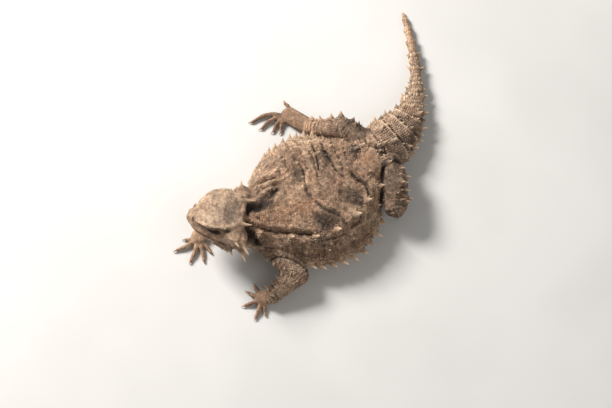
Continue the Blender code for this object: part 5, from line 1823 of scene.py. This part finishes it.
class Paint:
    """A material's nodes, made one after another."""

    def __init__(self, name):
        self.material = bpy.data.materials.new(name)
        self.material.use_nodes = True
        self.tree = self.material.node_tree
        self.shader = self.tree.nodes["Principled BSDF"]
        self.place = self.add("ShaderNodeTexCoord").outputs["Object"]

    def add(self, kind, **settings):
        node = self.tree.nodes.new(kind)
        for name, value in settings.items():
            setattr(node, name, value)
        return node

    def wire(self, value, socket):
        if isinstance(value, bpy.types.NodeSocket):
            self.tree.links.new(value, socket)
        else:
            socket.default_value = value

    def math(self, operation, *values):
        node = self.add("ShaderNodeMath", operation=operation)
        for value, socket in zip(values, node.inputs):
            self.wire(value, socket)
        return node.outputs[0]

    def mix(self, share, first, second, blend="MIX"):
        node = self.add("ShaderNodeMix", data_type="RGBA", blend_type=blend, clamp_factor=True)
        self.wire(share, node.inputs["Factor"])
        self.wire(first, node.inputs["A"])
        self.wire(second, node.inputs["B"])
        return node.outputs["Result"]

    def attribute(self, name):
        """The four numbers that paint() stored under that name."""
        node = self.add("ShaderNodeAttribute", attribute_name=name)
        parts = self.add("ShaderNodeSeparateColor")
        self.tree.links.new(node.outputs["Color"], parts.inputs[0])
        return (*parts.outputs, node.outputs["Alpha"])

    def noise(self, size, detail=3.0):
        """Noise from 0 to 1 whose features have that size in millimetres."""
        node = self.add("ShaderNodeTexNoise", noise_dimensions="3D")
        self.wire(self.place, node.inputs["Vector"])
        node.inputs["Scale"].default_value = 1 / (size * MM)
        node.inputs["Detail"].default_value = detail
        node.inputs["Roughness"].default_value = 0.55
        return node.outputs[0]

    def levels(self, value, low, high, to_low=0.0, to_high=1.0):
        """The value's range from low to high, spread over the other range and held inside it."""
        node = self.add("ShaderNodeMapRange", clamp=True)
        for socket, number in zip(node.inputs, (value, low, high, to_low, to_high)):
            self.wire(number, socket)
        return node.outputs[0]

    def bump(self, height, depth, below=None):
        """Unevenness of that depth in millimetres, over any below it."""
        node = self.add("ShaderNodeBump")
        node.inputs["Distance"].default_value = depth * MM
        self.wire(height, node.inputs["Height"])
        if below is not None:
            self.wire(below, node.inputs["Normal"])
        return node.outputs[0]

    def finish(self, colour, roughness, specular=None, bump=None):
        """Wires the surface, and gives back the material."""
        self.wire(colour, self.shader.inputs["Base Color"])
        self.wire(roughness, self.shader.inputs["Roughness"])
        if specular is not None:
            self.shader.inputs["Specular IOR Level"].default_value = specular
        if bump is not None:
            self.wire(bump, self.shader.inputs["Normal"])
        return self.material


MID_TAN, LIGHT_TAN, PINK = rgb(140, 111, 89), rgb(186, 154, 127), rgb(178, 140, 120)
GREY_TAN, CREAM, WARM_TAN = rgb(127, 112, 100), rgb(208, 180, 151), rgb(190, 136, 100)
# The dark colour of blotches, which also colours all painted shade and shadow.
BLOTCH_AND_SHADE_BROWN, BARE_SKIN, SPINE_TIP = rgb(46, 36, 32), rgb(70, 54, 46), rgb(214, 184, 152)


def skin_colour(paint, height=None, tone=None, tip=None):
    """The body's colour from its markings, with mottling, painted shade low on scales and spines and painted
    highlight on their tops, and pale spine tips; and its fine noise.
    """
    dark, pale, warm, grey = paint.attribute("marks")
    coarse, fine, specks = paint.noise(5.5), paint.noise(1.3, 4), paint.noise(0.45, 2)
    colour = paint.mix(paint.levels(coarse, 0.35, 0.65), MID_TAN, LIGHT_TAN)
    blush = paint.levels(paint.noise(2.6), 0.5, 0.7)
    for share, most, tint in ((blush, 0.4, PINK), (grey, 0.75, GREY_TAN), (pale, 0.66, CREAM),
                              (warm, 0.42, WARM_TAN), (dark, 0.93, BLOTCH_AND_SHADE_BROWN)):
        colour = paint.mix(paint.math("MULTIPLY", share, most), colour, tint)
    shades = [(fine, 0.32, 0.68, 0.66, 1.27), (paint.noise(2.2, 2), 0.35, 0.65, 0.86, 1.12),
              (specks, 0.3, 0.7, 0.87, 1.13)]
    if tone is not None:
        shades += [(tone, 0, 1, 0.7, 1.26), (tone, 0.93, 0.98, 1.0, 0.66)]
    # Painted shade at the roots of scales and spines and painted highlight on their tops, from the form's
    # height.
    if height is not None:
        shades.append((height, 0, 1, 0.42, 1.1))
    mottle = 1.0
    for shade in shades:
        mottle = paint.math("MULTIPLY", mottle, paint.levels(*shade))
    grey_level = paint.add("ShaderNodeCombineColor")
    for socket in grey_level.inputs:
        paint.wire(mottle, socket)
    colour = paint.mix(1.0, colour, grey_level.outputs[0], "MULTIPLY")
    if tip is not None:
        colour = paint.mix(paint.math("MULTIPLY", paint.math("POWER", tip, 1.6), 0.85), colour, SPINE_TIP)
    return colour, fine


def skin_material():
    """Bare skin between the scales: darker than they are, and finely pebbled."""
    paint = Paint("skin_between_scales")
    colour, fine = skin_colour(paint)
    share = paint.math("MULTIPLY_ADD", paint.attribute("marks")[1], -0.34, 0.36)
    pebbles = paint.add("ShaderNodeTexVoronoi")
    paint.wire(paint.place, pebbles.inputs["Vector"])
    pebbles.inputs["Scale"].default_value = 1 / (0.3 * MM)
    bump = paint.bump(pebbles.outputs["Distance"], 0.05, paint.bump(paint.noise(0.25, 2), 0.03))
    colour = paint.mix(share, colour, BARE_SKIN)
    return paint.finish(colour, paint.levels(fine, 0.3, 0.7, 0.62, 0.82), 0.35, bump)


def scale_material(name, tipped):
    """Dry, matt scales; a spine's tip is paler than its root. The form's height paints shade low on each
    scale and spine and a highlight on its top.
    """
    paint = Paint(name)
    height, tone, tip = paint.attribute("form")[:3]
    colour, fine = skin_colour(paint, height, tone, tip if tipped else None)
    grain = paint.bump(paint.noise(0.12, 3), 0.03)
    bump = paint.bump(paint.noise(0.5, 2), 0.08 if tipped else 0.04, grain)
    return paint.finish(colour, paint.levels(fine, 0.3, 0.7, 0.56, 0.8), 0.3, bump)


def horn_material(name, root, tip_colour, cloudy):
    """Keratin: streaked lengthwise, paler or darker towards its tip."""
    paint = Paint(name)
    streaks, cloud = paint.noise(0.35, 4), paint.noise(1.1, 3)
    colour = paint.mix(paint.levels(paint.attribute("form")[0], 0.05, 0.85), root, tip_colour)
    colour = paint.mix(paint.levels(streaks, 0.45, 0.75, 0, 0.45), colour, rgb(120, 92, 70))
    colour = paint.mix(paint.levels(cloud, 0.5, 0.8, 0, 0.35), colour, cloudy)
    return paint.finish(colour, paint.levels(cloud, 0.3, 0.7, 0.42, 0.58), 0.5, paint.bump(streaks, 0.04))


def eye_material():
    """A wet dark eye: black pupil, thin golden-brown iris and brown rim, by distance from where it looks."""
    paint = Paint("wet_eye")
    parts = paint.add("ShaderNodeSeparateXYZ")
    paint.wire(paint.place, parts.inputs[0])
    x, y = (paint.math("DIVIDE", parts.outputs[i], MM) for i in (0, 1))
    axis = paint.math("SQRT", paint.math("ADD", paint.math("MULTIPLY", x, x), paint.math("MULTIPLY", y, y)))
    rays = paint.math("SINE", paint.math("MULTIPLY", paint.math("ARCTAN2", y, x), 31.0))
    iris = paint.mix(paint.levels(rays, -1, 1, 0.2, 0.8), rgb(120, 78, 36), rgb(176, 128, 66))
    rim = paint.mix(paint.levels(axis, 1.05, 1.35), iris, rgb(48, 34, 26))
    colour = paint.mix(paint.levels(axis, 0.62, 0.70), rgb(8, 6, 5), rim)
    paint.shader.inputs["Coat Weight"].default_value = 1.0
    paint.shader.inputs["Coat Roughness"].default_value = 0.03
    return paint.finish(colour, 0.16, bump=paint.bump(paint.noise(0.2, 2), 0.01))


# Putting it together

def build_skin(mounds):
    """The skin, cut, shaped round the mounds and painted."""
    tubes = [spine_tube()] + head_tubes()
    for name in LIMBS:
        tubes += limb_tubes(name)
    for name in FEET:
        tubes += foot_tubes(name)
    piece = joined(tubes)
    cut(piece, face_openings())
    skin = Skin(piece, tubes)
    shape_skin(skin, mounds)
    skin.tree = tree_of(skin.points)
    skin.marks = paint_markings(skin)
    return skin


SPINE_GROUPS = {
    "trunk": (fringe_spines, back_spines),
    "tail": (tail_spines,),
    "limbs": (limb_spines,),
    "head": (head_spines,),
}


def gather_spines():
    """Every spine, by the piece that it belongs to."""
    groups = {}
    for name, fills in SPINE_GROUPS.items():
        groups[name] = Spines()
        for fill in fills:
            fill(groups[name])
    return groups


def horn_roots():
    return head_world([np.array(horn[0]) * (1, side, 1) for horn in HORNS.values() for side in (1, -1)])


def spine_roots(groups):
    """Places and radii of the spines of all groups."""
    return tuple(np.concatenate([spines.arrays()[i] for spines in groups.values()]) for i in (0, 3))


def gather_mounds(groups):
    """Where the skin is drawn up: place, radius and height for every spine and horn."""
    places, radii = spine_roots(groups)
    spine_mounds = np.column_stack((places, radii * 1.5, 0.5 * radii * step_between(0.2, 1.2, radii) + 0.05))
    roots = horn_roots()
    horn_mounds = np.column_stack((roots, np.full(len(roots), 1.9), np.full(len(roots), 0.8)))
    return np.concatenate((spine_mounds, horn_mounds))


def seat(skin, spines):
    """Moves the spines' roots onto the shaped skin."""
    for i, row in enumerate(spines.rows):
        place = np.array(row[:3])
        vertex = skin.tree.find(place)[1]
        normal = skin.normals[vertex]
        lift = np.clip(np.dot(skin.points[vertex] - place, normal), -2.0, 2.0) - 0.1
        spines.rows[i] = (*(place + normal * lift), *row[3:])


def place_scales(skin, fields, groups):
    """Places of all scales, their vertices, the farthest they reach, and 1 where they end a whorl."""
    rows = np.concatenate((tail_sites(), digit_sites(), lip_sites(), lid_sites()))
    spine_places, spine_radii = spine_roots(groups)
    spine_tree = tree_of(spine_places)
    fixed = settle(skin, rows[:, :3])[0]
    found = [spine_tree.find(place) for place in fixed.tolist()]
    clear = np.array([distance > spine_radii[i] * 0.9 for place, i, distance in found])
    fixed, rows = fixed[clear], rows[clear]
    roots = horn_roots()
    stops = np.concatenate((spine_places, roots, fixed))
    stop_radii = np.concatenate((spine_radii * 0.95, np.full(len(roots), 1.15), rows[:, 4]))
    loose = scatter(skin, fields, stops, stop_radii)
    movable = np.concatenate((np.full(len(fixed), 0.1), np.ones(len(loose))))
    places, vertices = relax(skin, fields, np.concatenate((fixed, loose)), movable)
    most = np.concatenate((rows[:, 3], fields[vertices[len(fixed):], 0] * 0.92))
    edge = np.concatenate((rows[:, 5], np.zeros(len(loose))))
    keep = places[:, 2] > 0.15
    return places[keep], vertices[keep], most[keep], edge[keep]


def scale_swell(places, groups):
    """How much larger each scale grows beside the root of a spine."""
    spine_places, radii = spine_roots(groups)
    spine_tree = tree_of(spine_places)
    found = [spine_tree.find(place) for place in places.tolist()]
    return np.array([bell(distance / radii[i] - 1, 1.0) * min(radii[i], 1.2) for place, i, distance in found])


def build_scales(skin, groups, material):
    """Every scale: fixed rows and others scattered between them, joined region by region."""
    fields = vertex_scales(skin)
    places, vertices, most, edge = place_scales(skin, fields, groups)
    gap, tall, overlap, lift = fields[vertices].T
    normal, lie = skin.normals[vertices], skin.lie[vertices]
    lie = unit(lie - normal * dot(lie, normal)[:, None])
    swell = scale_swell(places, groups)
    # Scales beside spine roots are paler; the last scales of each whorl get a painted highlight on its raised
    # edge.
    marks = skin.marks[vertices]
    marks[:, 1] = np.clip(marks[:, 1] + 0.4 * swell + 0.3 * edge, 0, 1)
    scales = {
        "places": places, "normal": normal, "lie": lie, "marks": marks,
        "reach": cells(places, normal, lie, gap * 0.28, most),
        "tall": tall * (1 + 1.1 * swell + 0.6 * edge) * RNG.uniform(0.82, 1.2, len(places)),
        "overlap": overlap + 0.75 * edge,
        "lift": np.clip(lift + 0.5 * edge, 0, 1),
        "tone": RNG.uniform(0, 1, len(places)),
    }
    region = np.array([REGIONS[kind] for kind in KINDS])[skin.kind[vertices]]
    region[(region == "trunk") & (skin.station[vertices] > TAIL_SCALES)] = "tail"
    far = skin.samples.unwrap(places)[:, 0]
    for name in np.unique(region):
        chosen = np.flatnonzero(region == name)
        chosen = chosen[np.argsort(far[chosen], kind="stable")]
        for number, share in enumerate(np.array_split(chosen, -(-len(chosen) // MOST_SCALES))):
            part = {key: values[share] for key, values in scales.items()}
            part["unwrap"] = skin.samples.unwrap(part["places"])
            title = f"scales_{name}_{number + 1}"
            finish_piece(new_object(title, scale_mesh(title, part)), material, "skin")


def build_animal():
    """All pieces of the animal, on one skin."""
    groups = gather_spines()
    skin = build_skin(gather_mounds(groups))
    for spines in groups.values():
        seat(skin, spines)
    scales, spiny = scale_material("dry_scales", False), scale_material("pale_tipped_spines", True)
    build_scales(skin, groups, scales)
    for name, spines in groups.items():
        title = "spines_" + name
        mesh = spine_mesh(title, skin, spines, 0.4 if name == "head" else 0.85)
        finish_piece(new_object(title, mesh), spiny, "skin")
    build_horns(horn_material("horn_keratin", rgb(132, 109, 91), rgb(190, 158, 126), rgb(206, 180, 150)))
    build_eyes(eye_material())
    build_claws(horn_material("claw_keratin", rgb(164, 124, 97), rgb(150, 108, 78), rgb(182, 144, 112)))
    mesh = skin.piece.data
    mesh.vertices.foreach_set("co", (inside_box(skin.points) * MM).astype(np.float32).ravel())
    mesh.shade_smooth()
    mesh.update()
    paint(mesh, "marks", skin.marks)
    finish_piece(skin.piece, skin_material(), "skin", *FLESH_NODES)


def look_at(piece, place, target):
    piece.location = Vector(place) * MM
    piece.rotation_euler = (Vector(target) - Vector(place)).to_track_quat("-Z", "Y").to_euler()


def build_camera():
    camera = bpy.data.objects.new("camera", bpy.data.cameras.new("camera"))
    bpy.context.scene.collection.objects.link(camera)
    camera.data.lens, camera.data.sensor_width = CAMERA_LENS, CAMERA_SENSOR
    camera.data.clip_start = 0.01
    rise = math.radians(CAMERA_ELEVATION)
    back = np.array((0, -math.cos(rise), math.sin(rise))) * CAMERA_DISTANCE
    look_at(camera, np.array(CAMERA_TARGET) + back, CAMERA_TARGET)
    bpy.context.scene.camera = camera


def area_light(name, place, size, power, colour):
    lamp = bpy.data.lights.new(name, "AREA")
    lamp.size, lamp.energy, lamp.color = size * MM, power, colour
    piece = bpy.data.objects.new(name, lamp)
    bpy.context.scene.collection.objects.link(piece)
    look_at(piece, place, (0, 0, 0))


def build_studio():
    """A pale floor, a soft key light from the upper left of the picture, a weak fill and a pale surround."""
    half = 1.5
    mesh = bpy.data.meshes.new("floor")
    corners = [(-half, -half, 0), (half, -half, 0), (half, half, 0), (-half, half, 0)]
    mesh.from_pydata(corners, [], [(0, 1, 2, 3)])
    floor = new_object("floor", mesh)
    paint = Paint("pale_floor")
    colour = paint.mix(paint.levels(paint.noise(60, 2), 0.4, 0.6), rgb(206, 205, 203), rgb(211, 210, 208))
    floor.data.materials.append(paint.finish(colour, 0.9))
    area_light("key", (-360, 300, 380), 200, 6.6, (1.0, 0.97, 0.93))
    area_light("fill", (420, -260, 360), 420, 0.8, (1.0, 0.98, 0.95))
    scene = bpy.context.scene
    scene.world = bpy.data.worlds.new("studio")
    scene.world.use_nodes = True
    background = scene.world.node_tree.nodes["Background"]
    background.inputs["Color"].default_value = (1.0, 0.99, 0.97, 1)
    background.inputs["Strength"].default_value = 0.26
    scene.view_settings.view_transform = "Standard"


build_camera()
build_animal()
build_studio()
